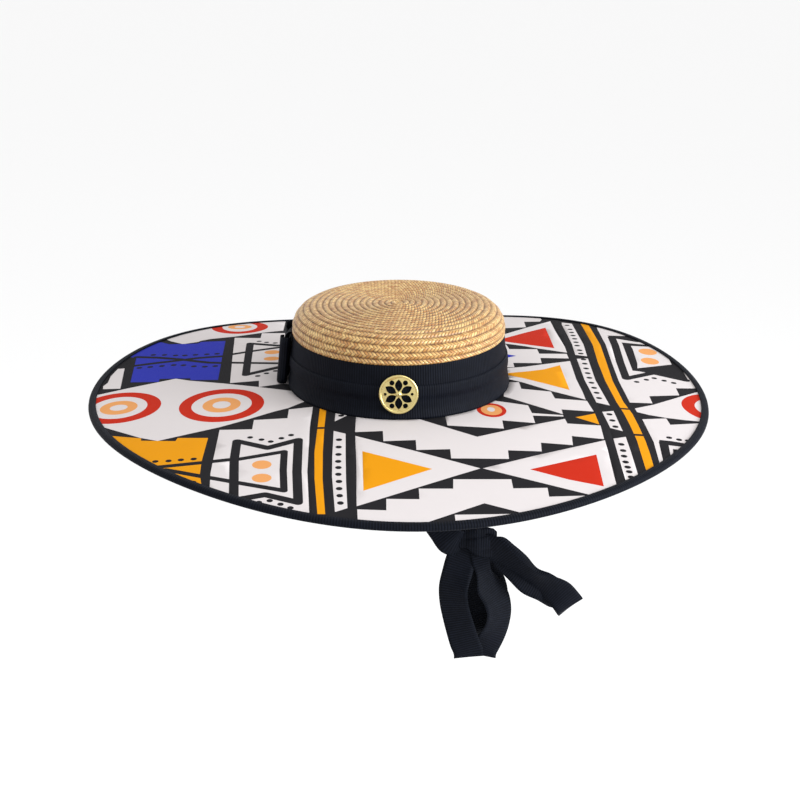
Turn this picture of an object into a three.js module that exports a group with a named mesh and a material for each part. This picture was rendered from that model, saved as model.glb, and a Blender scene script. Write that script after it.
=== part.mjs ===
// A bolero hat: a flat-topped straw crown on a very wide cloth-covered brim, with two ribbons round
// the crown, a flat bow at its side, a pierced brass badge, and a chin ribbon tied in a bow below.
// Millimetres, +Z up. The origin is the middle of the head opening, in the plane of its foot.
// The badge faces -Y, and +X is to the right of someone who looks at the badge.

import * as THREE from "three";
import { mergeVertices } from "three/addons/utils/BufferGeometryUtils.js";

// Head opening and straw crown
const HEAD_WIDTH = 172;
const HEAD_LENGTH = 192;
const STRAW = 2.5;
const CROWN_HEIGHT = 66.5;
const SHOULDER_RADIUS = 23;
const WALL_LEAN = 5.8;
const TOP_RISE = 1;
const BRAID_WIDTH = 4.9;
const BRAID_RELIEF = 0.7;
const BRAID_CREST = 0.45;

// Brim and the ribbon that binds its edge
const BRIM_WIDTH = 161.2;
const BRIM_THICK = 2.6;
const BRIM_DROOP = 12.7;
const BRIM_BEND = 1.35;
const BINDING_WIDTH = 8;

// Ribbons, the gap that separate pieces keep, and the stand-off of the badge
const RIBBON_WIDTH = 25;
const RIBBON = 0.9;
const GAP = 0.3;
const BAND_HEIGHT = 42;

// Badge on the front of the band
const BADGE_SIZE = 30;
const BADGE_THICK = 1.2;
const BADGE_LIFT = 19.5;
const BADGE_SEAT = 0.8;

// Flat bow on the viewer's left of the band
const BOW_LENGTH = 52;
const BOW_HEIGHT = 40;
const BOW_STAND = 9;
const BOW_BACK = 12;
const BOW_KNOT_WIDTH = 13;

// Chin ribbon: where it is sewn in, where its knot hangs, and how far the bow reaches
const STRAP_SEWN = 16;
const KNOT_DROP = 131;
const KNOT_SIDE = 66;
const KNOT_FORWARD = 30;
const KNOT_WIDTH = 24;
const KNOT_HEIGHT = 30;
const KNOT_DEPTH = 13;
const KNOT_FOLDS = 3;
const KNOT_FOLD_DEPTH = 0.1;
const LOOP_REACH = 82;
const TAIL_DROP = 86;

// Facets: steps round the crown and brim, round the knot, along a ribbon and at each of its bends,
// how many turns of braid share one facet inside the crown, and where the brim's rings lie
const AROUND = 48;
const AROUND_KNOT = 18;
const RIBBON_STEPS = 26;
const STEPS_AT_BEND = 3;
const TURNS_INSIDE = 3;
const BRIM_RINGS = [0, 0.1, 0.25, 0.42, 0.6, 0.8, 1];

// Waves of the brim's edge. A row for each wave: how many times it repeats round the brim, and its
// height where it peaks at the side (across) and a quarter wave on (along), in shares of the brim.
const BRIM_WAVES = [
  { repeats: 1, across: -0.009, along: 0.012 },
  { repeats: 2, across: 0.039, along: 0.016 },
  { repeats: 3, across: -0.002, along: 0.009 },
  { repeats: 4, across: -0.017, along: -0.003 },
];

// One loop of the side bow, seen from above. A row for each bend: how far it is from the knot, how
// far it stands from the band and how tall the ribbon is, in shares of half the bow's length, the
// bow's stand and the bow's height.
const BOW_LOOP = [
  { from: 0.0, stand: 0.62, tall: 0.78 },
  { from: 0.2, stand: 0.86, tall: 0.86 },
  { from: 0.5, stand: 0.95, tall: 0.95 },
  { from: 0.8, stand: 0.9, tall: 1 },
  { from: 0.96, stand: 0.66, tall: 1 },
  { from: 0.97, stand: 0.34, tall: 1 },
  { from: 0.8, stand: 0.13, tall: 1 },
  { from: 0.4, stand: 0.1, tall: 0.95 },
  { from: 0.0, stand: 0.12, tall: 0.85 },
];

// Ribbon wrapped round the middle of the side bow. A row for each section: how far along the knot
// it is, how tall it is and how far it stands from the band, in shares of half the knot's width, the
// bow's height and the bow's stand. Its corners are rounded off to BOW_KNOT_SOFT of the section.
const BOW_KNOT = [
  { along: -1, tall: 0.86, stand: 0.76 },
  { along: -0.6, tall: 0.83, stand: 0.8 },
  { along: 0, tall: 0.78, stand: 0.86 },
  { along: 0.6, tall: 0.83, stand: 0.8 },
  { along: 1, tall: 0.86, stand: 0.76 },
];
const BOW_KNOT_SOFT = 0.75;

// Chin ribbon from the foot of the crown to the knot. A row for each bend: how far it has gone
// across, forward and down on its way to the knot, as shares of that way, how far the ribbon is
// turned from lying front to back, in degrees, and its width as a share of the ribbon's.
const STRAP_LEFT = [
  { across: 0.109, forward: 0.04, down: 0.11, turn: 8, wide: 1 },
  { across: 0.327, forward: 0.2, down: 0.33, turn: 24, wide: 1 },
  { across: 0.577, forward: 0.45, down: 0.56, turn: 52, wide: 1 },
  { across: 0.785, forward: 0.75, down: 0.78, turn: 80, wide: 1 },
  { across: 0.875, forward: 1, down: 0.9, turn: 90, wide: 1 },
  { across: 0.922, forward: 1.12, down: 0.965, turn: 90, wide: 1 },
  { across: 0.958, forward: 1.08, down: 0.985, turn: 90, wide: 0.78 },
  { across: 0.992, forward: 1, down: 1, turn: 90, wide: 0.36 },
];
const STRAP_RIGHT = [
  { across: 0.1, forward: 0.1, down: 0.13, turn: -6, wide: 1 },
  { across: 0.35, forward: 0.35, down: 0.395, turn: -20, wide: 1 },
  { across: 0.65, forward: 0.6, down: 0.636, turn: -45, wide: 1 },
  { across: 0.98, forward: 0.85, down: 0.834, turn: -78, wide: 1 },
  { across: 1.25, forward: 1, down: 0.98, turn: -90, wide: 0.6 },
];

// Knot under the chin, pinched at the viewer's left and fanned out to the right. A row for each
// section: how far along the knot it is, and how tall and deep it is, in shares of the knot.
const KNOT = [
  { along: 0, tall: 0.16, deep: 0.3 },
  { along: 0.12, tall: 0.36, deep: 0.62 },
  { along: 0.3, tall: 0.58, deep: 0.9 },
  { along: 0.5, tall: 0.76, deep: 1 },
  { along: 0.75, tall: 0.92, deep: 0.95 },
  { along: 1, tall: 1, deep: 0.7 },
];
const KNOT_WAIST = KNOT[3].tall;

// Ribbons of the bow under the chin. A row for each bend: how far it lies to the side, back and down
// from where it leaves the knot, in shares of the reach of the long loop or the drop of the tails,
// how far the ribbon is turned from lying front to back, and its width as a share.
const LONG_LOOP = [
  { side: 0.005, back: -0.04, drop: 0.005, turn: 90, wide: 0.95 },
  { side: 0.07, back: -0.05, drop: 0.005, turn: 91, wide: 0.98 },
  { side: 0.15, back: -0.06, drop: 0.075, turn: 97, wide: 1 },
  { side: 0.25, back: -0.07, drop: 0.21, turn: 110, wide: 1 },
  { side: 0.39, back: -0.07, drop: 0.352, turn: 122, wide: 1 },
  { side: 0.53, back: -0.075, drop: 0.41, turn: 114, wide: 1 },
  { side: 0.655, back: -0.08, drop: 0.488, turn: 96, wide: 1 },
  { side: 0.745, back: -0.075, drop: 0.6, turn: 80, wide: 1 },
  { side: 0.785, back: -0.052, drop: 0.665, turn: 76, wide: 1 },
  { side: 0.783, back: -0.017, drop: 0.68, turn: 76, wide: 1 },
  { side: 0.757, back: 0.006, drop: 0.63, turn: 80, wide: 1 },
  { side: 0.645, back: 0.002, drop: 0.555, turn: 96, wide: 1 },
  { side: 0.52, back: 0, drop: 0.47, turn: 114, wide: 1 },
  { side: 0.375, back: 0, drop: 0.4, turn: 120, wide: 1 },
  { side: 0.235, back: 0.012, drop: 0.25, turn: 112, wide: 1 },
  { side: 0.14, back: 0.03, drop: 0.11, turn: 98, wide: 0.95 },
  { side: 0.07, back: 0.04, drop: 0.03, turn: 91, wide: 0.85 },
  { side: 0.005, back: 0.04, drop: 0.03, turn: 90, wide: 0.75 },
];
const DROP_LOOP = [
  { side: -0.023, back: 0.035, drop: -0.012, turn: 88, wide: 0.45 },
  { side: -0.06, back: 0.05, drop: 0.16, turn: 82, wide: 0.95 },
  { side: -0.05, back: 0.07, drop: 0.34, turn: 84, wide: 1 },
  { side: -0.02, back: 0.07, drop: 0.54, turn: 86, wide: 1 },
  { side: 0.02, back: 0.07, drop: 0.72, turn: 88, wide: 1 },
  { side: 0.056, back: 0.085, drop: 0.83, turn: 90, wide: 1 },
  { side: 0.063, back: 0.125, drop: 0.88, turn: 90, wide: 1 },
  { side: 0.066, back: 0.165, drop: 0.855, turn: 90, wide: 1 },
  { side: 0.13, back: 0.175, drop: 0.61, turn: 86, wide: 1 },
  { side: 0.155, back: 0.165, drop: 0.43, turn: 80, wide: 1 },
  { side: 0.11, back: 0.14, drop: 0.25, turn: 78, wide: 0.95 },
  { side: 0.03, back: 0.075, drop: 0.02, turn: 88, wide: 0.5 },
];
const TAIL_LEFT = [
  { side: -0.045, back: -0.046, drop: -0.036, turn: 92, wide: 0.4 },
  { side: -0.115, back: -0.08, drop: 0.045, turn: 98, wide: 0.8 },
  { side: -0.192, back: -0.09, drop: 0.14, turn: 106, wide: 1 },
  { side: -0.242, back: -0.09, drop: 0.285, turn: 110, wide: 1 },
  { side: -0.236, back: -0.095, drop: 0.435, turn: 110, wide: 1 },
  { side: -0.207, back: -0.1, drop: 0.57, turn: 106, wide: 1 },
  { side: -0.166, back: -0.115, drop: 0.72, turn: 100, wide: 1 },
  { side: -0.128, back: -0.125, drop: 0.845, turn: 94, wide: 1 },
  { side: -0.094, back: -0.13, drop: 0.93, turn: 90, wide: 1 },
  { side: -0.087, back: -0.13, drop: 1, turn: 90, wide: 1 },
];
const TAIL_RIGHT = [
  { side: 0.023, back: -0.03, drop: 0.035, turn: 80, wide: 0.4 },
  { side: 0.057, back: -0.035, drop: 0.15, turn: 60, wide: 0.72 },
  { side: 0.09, back: -0.035, drop: 0.275, turn: 52, wide: 0.95 },
  { side: 0.172, back: -0.035, drop: 0.41, turn: 58, wide: 1 },
  { side: 0.205, back: -0.04, drop: 0.555, turn: 56, wide: 1 },
  { side: 0.196, back: -0.045, drop: 0.685, turn: 58, wide: 1 },
  { side: 0.16, back: -0.05, drop: 0.79, turn: 66, wide: 1 },
  { side: 0.11, back: -0.057, drop: 0.89, turn: 78, wide: 1 },
  { side: 0.078, back: -0.057, drop: 0.955, turn: 88, wide: 1 },
  { side: 0.07, back: -0.057, drop: 1.02, turn: 90, wide: 1 },
];

// Openings pierced through the badge, in shares of its radius
const BADGE_PETALS = { count: 6, inner: 0.14, outer: 0.77, half: 0.19 };
const BADGE_EYES = { count: 6, reach: 0.68, radius: 0.13 };
const BADGE_SEW_HOLE = 0.075;

// Colour, roughness and metalness of each finish
const STRAW_FINISH = { color: 0xd9a95c, roughness: 0.55, metalness: 0 };
const CLOTH_FINISH = { color: 0xe8e0de, roughness: 0.85, metalness: 0 };
const RIBBON_FINISH = { color: 0x1b1d26, roughness: 0.65, metalness: 0 };
const BRASS_FINISH = { color: 0xd9cc8a, roughness: 0.28, metalness: 1 };

const halfWidth = HEAD_WIDTH / 2;
const halfLength = HEAD_LENGTH / 2;
const lean = THREE.MathUtils.degToRad(WALL_LEAN);
const turnFull = Math.PI * 2;

const hat = new THREE.Group();

function addPiece(name, geometry, finish) {
  const mesh = new THREE.Mesh(geometry, new THREE.MeshStandardMaterial(finish));
  mesh.name = name;
  hat.add(mesh);
  return mesh;
}

// A point of the oval whose half width is reach. Outside the head opening the oval keeps an even
// distance from it, and inside it shrinks evenly to the middle.
function ovalPoint(reach, angle, z) {
  const stretch = (halfLength - halfWidth) * Math.min(1, reach / halfWidth);
  return new THREE.Vector3(reach * Math.cos(angle), (reach + stretch) * Math.sin(angle), z);
}

// A closed body from a grid of points, grid[i][j]. Rows close on themselves. The grid's columns
// close too, or end in a flat cap at each end. The back of a thin strip is cut along the same
// diagonals as its face, so that a twisted strip keeps its thickness.
function gridBody(grid, columnsClose, thinStrip = false) {
  const rows = grid.length;
  const columns = grid[0].length;
  const positions = grid.flat().flatMap((p) => [p.x, p.y, p.z]);
  const triangles = [];
  const lastRow = columnsClose ? rows : rows - 1;
  for (let i = 0; i < lastRow; i++) {
    const next = (i + 1) % rows;
    for (let j = 0; j < columns; j++) {
      const side = (j + 1) % columns;
      const corners = [i * columns + j, next * columns + j, next * columns + side, i * columns + side];
      if (thinStrip && j >= columns / 2) corners.push(corners.shift());
      triangles.push([corners[0], corners[1], corners[2]], [corners[0], corners[2], corners[3]]);
    }
  }
  if (!columnsClose) {
    for (let j = 1; j < columns - 1; j++) {
      triangles.push([0, j, j + 1]);
      const start = (rows - 1) * columns;
      triangles.push([start, start + j + 1, start + j]);
    }
  }
  return closedGeometry(positions, triangles);
}

// Merges equal points, drops faces that have shrunk to a line and turns the faces outward.
function closedGeometry(positions, triangles) {
  const rough = new THREE.BufferGeometry();
  rough.setAttribute("position", new THREE.Float32BufferAttribute(positions, 3));
  rough.setIndex(triangles.flat());
  const merged = mergeVertices(rough, 1e-4);
  const index = merged.getIndex();
  const corner = new THREE.Vector3();
  const kept = [];
  let volume = 0;
  for (let k = 0; k < index.count; k += 3) {
    const face = [index.getX(k), index.getX(k + 1), index.getX(k + 2)];
    if (new Set(face).size < 3) continue;
    kept.push(face);
    const [a, b, c] = face.map((i) => corner.clone().fromBufferAttribute(merged.getAttribute("position"), i));
    volume += a.dot(b.cross(c));
  }
  merged.setIndex(kept.flatMap(([a, b, c]) => (volume > 0 ? [a, b, c] : [a, c, b])));
  merged.computeVertexNormals();
  return merged;
}

// A body whose section goes round the oval. section(angle) gives its corners as reach and height.
function ovalBody(section) {
  const grid = [];
  for (let i = 0; i < AROUND; i++) {
    const angle = (i * turnFull) / AROUND;
    grid.push(section(angle).map(({ reach, z }) => ovalPoint(reach, angle, z)));
  }
  return gridBody(grid, true);
}

// Half width of the crown's outer wall at a height, below the shoulder
function wallReach(z) {
  return halfWidth + STRAW - z * Math.tan(lean);
}

// The crown's outline from foot to middle of the top: leaning wall, round shoulder, flat top.
const shoulderHeight = CROWN_HEIGHT - TOP_RISE - SHOULDER_RADIUS;
const wallTop = shoulderHeight + SHOULDER_RADIUS * Math.sin(lean);
const shoulderReach = wallReach(wallTop) - SHOULDER_RADIUS * Math.cos(lean);
const shoulderLength = SHOULDER_RADIUS * (Math.PI / 2 - lean);
const outlineLength = shoulderLength + shoulderReach;

// A point on the crown above the wall, after some travel along the outline, lifted off it by lift
function crownPoint(travel, lift) {
  if (travel < shoulderLength) {
    const angle = lean + travel / SHOULDER_RADIUS;
    const radius = SHOULDER_RADIUS + lift;
    return { reach: shoulderReach + radius * Math.cos(angle), z: shoulderHeight + radius * Math.sin(angle) };
  }
  const reach = shoulderReach - (travel - shoulderLength);
  const rise = TOP_RISE * (1 - (reach / shoulderReach) ** 2);
  return { reach: Math.max(reach, 0), z: shoulderHeight + SHOULDER_RADIUS + rise + lift };
}

// Straw cap, open below. Each turn of the sewn braid is a rib between two grooves.
function crown() {
  const turns = Math.round(outlineLength / BRAID_WIDTH);
  const outside = [{ reach: wallReach(0), z: 0 }];
  const inside = [{ reach: wallReach(0) - STRAW, z: 0 }];
  for (let turn = 0; turn < turns; turn++) {
    const start = (turn * outlineLength) / turns;
    const middle = ((turn + BRAID_CREST) * outlineLength) / turns;
    outside.push(crownPoint(start, 0), crownPoint(middle, BRAID_RELIEF));
  }
  outside.push({ reach: 0, z: CROWN_HEIGHT });
  const insideSteps = Math.ceil(turns / TURNS_INSIDE);
  for (let step = 0; step < insideSteps; step++) {
    inside.push(crownPoint((step * outlineLength) / insideSteps, -STRAW));
  }
  inside.push({ reach: 0, z: CROWN_HEIGHT - STRAW });
  const outline = [...outside, ...inside.reverse()];
  return ovalBody(() => outline);
}

// Height of the brim's upper face. It droops to the edge, and the waves grow with it.
const brimStart = halfWidth + STRAW + GAP;
const brimEdge = brimStart + BRIM_WIDTH;

function brimTop(reach, angle) {
  const share = Math.max(0, (reach - brimStart) / BRIM_WIDTH) ** BRIM_BEND;
  let wave = 0;
  for (const row of BRIM_WAVES) {
    wave += row.across * Math.cos(row.repeats * angle) + row.along * Math.sin(row.repeats * angle);
  }
  return BRIM_THICK + share * (wave * BRIM_WIDTH - BRIM_DROOP);
}

// Cloth-covered brim, a wavy ring round the foot of the crown
function brim() {
  const outer = brimEdge - RIBBON - GAP;
  const rings = BRIM_RINGS.map((share) => brimStart + share * (outer - brimStart));
  return ovalBody((angle) => {
    const top = rings.map((reach) => ({ reach, z: brimTop(reach, angle) }));
    const under = top.map(({ reach, z }) => ({ reach, z: z - BRIM_THICK }));
    return [...top, ...under.reverse()];
  });
}

// Ribbon folded over the brim's edge
function brimBinding() {
  const inner = brimEdge - BINDING_WIDTH;
  const fold = brimEdge - RIBBON;
  const over = GAP + RIBBON;
  return ovalBody((angle) => {
    const at = (reach, lift) => ({ reach, z: brimTop(reach, angle) + lift });
    return [
      at(inner, over),
      at(fold, over),
      at(brimEdge, over - RIBBON),
      at(brimEdge, RIBBON - BRIM_THICK - over),
      at(fold, -BRIM_THICK - over),
      at(inner, -BRIM_THICK - over),
      at(inner, -BRIM_THICK - GAP),
      at(fold, -BRIM_THICK - GAP),
      at(fold, GAP),
      at(inner, GAP),
    ];
  });
}

// The two ribbons round the crown. The lower one laps over the foot of the upper one.
const bandFoot = BRIM_THICK + GAP;
const bandTop = bandFoot + BAND_HEIGHT;
const underLap = GAP;
const overLap = GAP + RIBBON + GAP;
const bandFace = overLap + RIBBON;

function bandBody(rows) {
  const face = (extra) => rows.map(({ z, off }) => ({ reach: wallReach(z) + off + extra, z }));
  return ovalBody(() => [...face(RIBBON), ...face(0).reverse()]);
}

function hatBandUpper() {
  const foot = bandTop - RIBBON_WIDTH;
  return bandBody([
    { z: foot, off: underLap },
    { z: (foot + bandTop) / 2, off: underLap },
    { z: bandTop, off: underLap },
  ]);
}

function hatBandLower() {
  const step = bandTop - RIBBON_WIDTH;
  return bandBody([
    { z: bandFoot, off: underLap },
    { z: step - overLap * 2, off: underLap },
    { z: step - GAP, off: overLap },
    { z: bandFoot + RIBBON_WIDTH, off: overLap },
  ]);
}

// Pierced brass disc, bent to the front of the band
function badge() {
  const radius = BADGE_SIZE / 2;
  const outline = new THREE.Shape();
  outline.absarc(0, 0, radius, 0, turnFull, false);
  for (let i = 0; i < BADGE_PETALS.count; i++) {
    const angle = ((i + 0.5) * turnFull) / BADGE_PETALS.count;
    outline.holes.push(petalHole(radius, angle));
  }
  for (let i = 0; i < BADGE_EYES.count; i++) {
    const angle = (i * turnFull) / BADGE_EYES.count;
    const forSewing = i % (BADGE_EYES.count / 2) === 0;
    const hole = new THREE.Path();
    const share = forSewing ? BADGE_SEW_HOLE : BADGE_EYES.radius;
    const reach = radius * BADGE_EYES.reach;
    hole.absarc(reach * Math.cos(angle), reach * Math.sin(angle), radius * share, 0, turnFull, true);
    outline.holes.push(hole);
  }
  const flat = new THREE.ExtrudeGeometry(outline, { depth: BADGE_THICK, bevelEnabled: false, curveSegments: 10 });
  const place = flat.getAttribute("position");
  const positions = [];
  for (let i = 0; i < place.count; i++) {
    const z = bandFoot + BADGE_LIFT + place.getY(i);
    const reach = wallReach(z) + bandFace + BADGE_SEAT + place.getZ(i);
    const angle = -Math.acos(place.getX(i) / reach);
    const point = ovalPoint(reach, angle, z);
    positions.push(point.x, point.y, point.z);
  }
  const triangles = [];
  for (let i = 0; i < place.count; i += 3) {
    triangles.push([i, i + 1, i + 2]);
  }
  return closedGeometry(positions, triangles);
}

// A leaf-shaped opening that points to the badge's middle
function petalHole(radius, angle) {
  const along = (share, side) => {
    const reach = radius * share;
    const across = radius * side;
    return new THREE.Vector2(
      reach * Math.cos(angle) - across * Math.sin(angle),
      reach * Math.sin(angle) + across * Math.cos(angle),
    );
  };
  const middle = (BADGE_PETALS.inner + BADGE_PETALS.outer) / 2;
  const bulge = BADGE_PETALS.half * 2;
  const hole = new THREE.Path();
  const inner = along(BADGE_PETALS.inner, 0);
  const outer = along(BADGE_PETALS.outer, 0);
  const left = along(middle, bulge);
  const right = along(middle, -bulge);
  hole.moveTo(inner.x, inner.y);
  hole.quadraticCurveTo(left.x, left.y, outer.x, outer.y);
  hole.quadraticCurveTo(right.x, right.y, inner.x, inner.y);
  return hole;
}

// A ribbon as a closed strip. Each station gives its middle, the way its width runs and its width.
function ribbonBody(stations) {
  const centres = new THREE.CatmullRomCurve3(stations.map((s) => s.middle), false, "centripetal");
  const rims = new THREE.CatmullRomCurve3(
    stations.map((s) => s.middle.clone().addScaledVector(s.across, s.width / 2)),
    false,
    "centripetal",
  );
  const steps = Math.max(RIBBON_STEPS, stations.length * STEPS_AT_BEND);
  const grid = [];
  for (let i = 0; i <= steps; i++) {
    const middle = centres.getPoint(i / steps);
    const half = rims.getPoint(i / steps).sub(middle);
    const tangent = centres.getTangent(i / steps);
    const face = tangent.clone().cross(half).setLength(RIBBON / 2);
    grid.push([
      middle.clone().add(half).add(face),
      middle.clone().sub(half).add(face),
      middle.clone().sub(half).sub(face),
      middle.clone().add(half).sub(face),
    ]);
  }
  return gridBody(grid, false, true);
}

// The way a ribbon's width runs when it is turned by some degrees from lying front to back
function acrossRibbon(points, i, turn) {
  const before = points[Math.max(0, i - 1)];
  const after = points[Math.min(points.length - 1, i + 1)];
  const tangent = after.clone().sub(before).normalize();
  const frontToBack = new THREE.Vector3(0, 1, 0);
  const edgeways = tangent.clone().setY(0).normalize().cross(frontToBack);
  const angle = THREE.MathUtils.degToRad(turn);
  const across = frontToBack.multiplyScalar(Math.cos(angle)).addScaledVector(edgeways, Math.sin(angle));
  return across.addScaledVector(tangent, -across.dot(tangent)).normalize();
}

// Middle of the knot, and the places on it where the ribbons meet it
const knotMiddle = new THREE.Vector3(KNOT_SIDE, -KNOT_FORWARD, -KNOT_DROP);
const knotWaist = (KNOT_HEIGHT / 2) * KNOT_WAIST + GAP;
const knotTip = knotMiddle.clone().setX(KNOT_SIDE - KNOT_WIDTH / 2 - 2 * GAP);
const knotFan = knotMiddle.clone().setX(KNOT_SIDE + KNOT_WIDTH / 2 + GAP);
const knotTop = knotMiddle.clone().setZ(knotWaist - KNOT_DROP);
const knotFoot = knotMiddle.clone().setZ(-knotWaist - KNOT_DROP);

// Ribbon of the lower bow from its start at the knot. Where the path folds back, the width keeps
// the way it had.
function bowRibbon(rows, start, reach) {
  const points = rows.map((row) => start.clone().add(
    new THREE.Vector3(row.side, row.back, -row.drop).multiplyScalar(reach),
  ));
  let last = null;
  return ribbonBody(rows.map((row, i) => {
    const across = acrossRibbon(points, i, row.turn);
    if (last && across.dot(last) < 0) across.negate();
    last = across;
    return { middle: points[i], across, width: RIBBON_WIDTH * row.wide };
  }));
}

// One side of the chin ribbon: sewn flat inside the wall, then down to the knot
function strap(side, rows, end) {
  const sag = halfWidth * (1 - Math.sqrt(1 - (RIBBON_WIDTH / 2 / halfLength) ** 2));
  const seat = (z) => side * (wallReach(z) - STRAW - sag - 2 * GAP - RIBBON);
  const sewn = [STRAP_SEWN, STRAP_SEWN / 2, 0];
  const foot = new THREE.Vector3(seat(0), 0, 0);
  const way = end.clone().sub(foot);
  const points = sewn.map((z) => new THREE.Vector3(seat(z), 0, z));
  for (const row of rows) {
    points.push(foot.clone().add(new THREE.Vector3(way.x * row.across, way.y * row.forward, way.z * row.down)));
  }
  const turns = [...sewn.map(() => 0), ...rows.map((row) => row.turn)];
  const widths = [...sewn.map(() => 1), ...rows.map((row) => row.wide)];
  return ribbonBody(points.map((middle, i) => ({
    middle,
    across: acrossRibbon(points, i, turns[i]),
    width: RIBBON_WIDTH * widths[i],
  })));
}

// Soft knot of wrapped ribbon, with shallow folds that run along it
function chinKnot() {
  return gridBody(KNOT.map((row) => {
    const ring = [];
    for (let j = 0; j < AROUND_KNOT; j++) {
      const angle = (j * turnFull) / AROUND_KNOT;
      const puff = 1 - KNOT_FOLD_DEPTH * Math.sin(angle * KNOT_FOLDS) ** 2;
      ring.push(new THREE.Vector3(
        knotMiddle.x + KNOT_WIDTH * (row.along - 0.5),
        knotMiddle.y + (KNOT_DEPTH / 2) * row.deep * Math.cos(angle) * puff,
        knotMiddle.z + (KNOT_HEIGHT / 2) * row.tall * Math.sin(angle) * puff,
      ));
    }
    return ring;
  }), false);
}

// A point beside the band at the viewer's left: how far back it is, its height, and its stand-off
function besideBand(back, z, off) {
  const reach = wallReach(z) + bandFace + off;
  const ahead = ovalPoint(reach, Math.PI / 2, z).y;
  return ovalPoint(reach, Math.PI - Math.asin(back / ahead), z);
}

// One loop of the side bow. It goes out from the knot on the outside and back along the band.
function sideBowLoop(way) {
  const reach = (BOW_LENGTH - BOW_KNOT_WIDTH) / 2 - 2 * GAP;
  const start = BOW_BACK + way * (BOW_KNOT_WIDTH / 2 + 2 * GAP);
  const z = bandFoot + BAND_HEIGHT / 2;
  return ribbonBody(BOW_LOOP.map((row) => {
    const back = start + way * reach * row.from;
    const off = GAP + RIBBON / 2 + row.stand * (BOW_STAND - RIBBON - GAP);
    const tall = (row.tall * BOW_HEIGHT) / 2;
    const low = besideBand(back, z - tall, off);
    const high = besideBand(back, z + tall, off);
    return {
      middle: low.clone().add(high).multiplyScalar(0.5),
      across: high.clone().sub(low).normalize(),
      width: tall * 2,
    };
  }));
}

// The ribbon wrapped round the middle of the side bow
function sideBowKnot() {
  const z = bandFoot + BAND_HEIGHT / 2;
  return gridBody(BOW_KNOT.map((row) => {
    const tall = (BOW_HEIGHT / 2) * row.tall;
    const stand = BOW_STAND * row.stand;
    const back = BOW_BACK + (BOW_KNOT_WIDTH / 2) * row.along;
    return [
      besideBand(back, z - tall, GAP),
      besideBand(back, z + tall, GAP),
      besideBand(back, z + tall, stand * BOW_KNOT_SOFT),
      besideBand(back, z + tall * BOW_KNOT_SOFT, stand),
      besideBand(back, z, stand),
      besideBand(back, z - tall * BOW_KNOT_SOFT, stand),
      besideBand(back, z - tall, stand * BOW_KNOT_SOFT),
    ];
  }), false);
}

addPiece("crown", crown(), STRAW_FINISH);
addPiece("brim", brim(), CLOTH_FINISH);
addPiece("brim_binding", brimBinding(), RIBBON_FINISH);
addPiece("hat_band_upper", hatBandUpper(), RIBBON_FINISH);
addPiece("hat_band_lower", hatBandLower(), RIBBON_FINISH);
addPiece("badge", badge(), BRASS_FINISH);
addPiece("side_bow_loop_front", sideBowLoop(-1), RIBBON_FINISH);
addPiece("side_bow_loop_back", sideBowLoop(1), RIBBON_FINISH);
addPiece("side_bow_knot", sideBowKnot(), RIBBON_FINISH);
addPiece("chin_strap_left", strap(-1, STRAP_LEFT, knotTip), RIBBON_FINISH);
addPiece("chin_strap_right", strap(1, STRAP_RIGHT, knotTop), RIBBON_FINISH);
addPiece("chin_knot", chinKnot(), RIBBON_FINISH);
addPiece("chin_bow_long_loop", bowRibbon(LONG_LOOP, knotFan, LOOP_REACH), RIBBON_FINISH);
addPiece("chin_bow_drop_loop", bowRibbon(DROP_LOOP, knotFoot, TAIL_DROP), RIBBON_FINISH);
addPiece("chin_bow_tail_left", bowRibbon(TAIL_LEFT, knotFoot, TAIL_DROP), RIBBON_FINISH);
addPiece("chin_bow_tail_right", bowRibbon(TAIL_RIGHT, knotFoot, TAIL_DROP), RIBBON_FINISH);

export default hat;
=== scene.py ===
# %% [markdown]
# A bolero hat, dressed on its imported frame.
#
# The frame holds every piece of the hat as a plain solid at its real size. This file builds what
# the eye sees round it: sewn straw, printed cotton, ribbed ribbon and a small brass badge. Lengths
# are in millimetres until a mesh is made, because a hat maker measures that way.

import math
from collections import namedtuple

import bmesh
import bpy
import numpy as np
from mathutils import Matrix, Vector
from mathutils.geometry import delaunay_2d_cdt


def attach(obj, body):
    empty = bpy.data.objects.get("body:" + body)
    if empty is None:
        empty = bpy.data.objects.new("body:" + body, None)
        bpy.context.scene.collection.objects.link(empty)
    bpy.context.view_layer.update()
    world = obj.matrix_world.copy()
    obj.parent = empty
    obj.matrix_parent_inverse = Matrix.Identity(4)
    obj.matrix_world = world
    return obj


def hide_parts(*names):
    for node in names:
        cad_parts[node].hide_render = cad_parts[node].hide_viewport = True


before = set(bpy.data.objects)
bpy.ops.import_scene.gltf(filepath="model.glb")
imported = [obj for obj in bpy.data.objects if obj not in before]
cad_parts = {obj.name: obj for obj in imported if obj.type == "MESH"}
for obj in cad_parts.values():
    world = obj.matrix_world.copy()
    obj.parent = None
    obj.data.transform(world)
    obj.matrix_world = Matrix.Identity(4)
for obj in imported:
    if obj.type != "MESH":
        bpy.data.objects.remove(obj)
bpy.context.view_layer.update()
MM = 0.001

# %% [markdown]
# The camera comes first, because everything is judged through it. It is a short telephoto lens, a
# little above the brim and straight in front of the badge, so that the round brim shows as a flat
# ellipse. It looks at a point just below the middle of the crown's foot.

# %% Camera
LENS = 75.6
SENSOR = 36.0
CAMERA_ABOVE = 18.5
CAMERA_AWAY = 1378.0
LOOK_AT = Vector((1.0, 0.0, -15.6))


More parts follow.
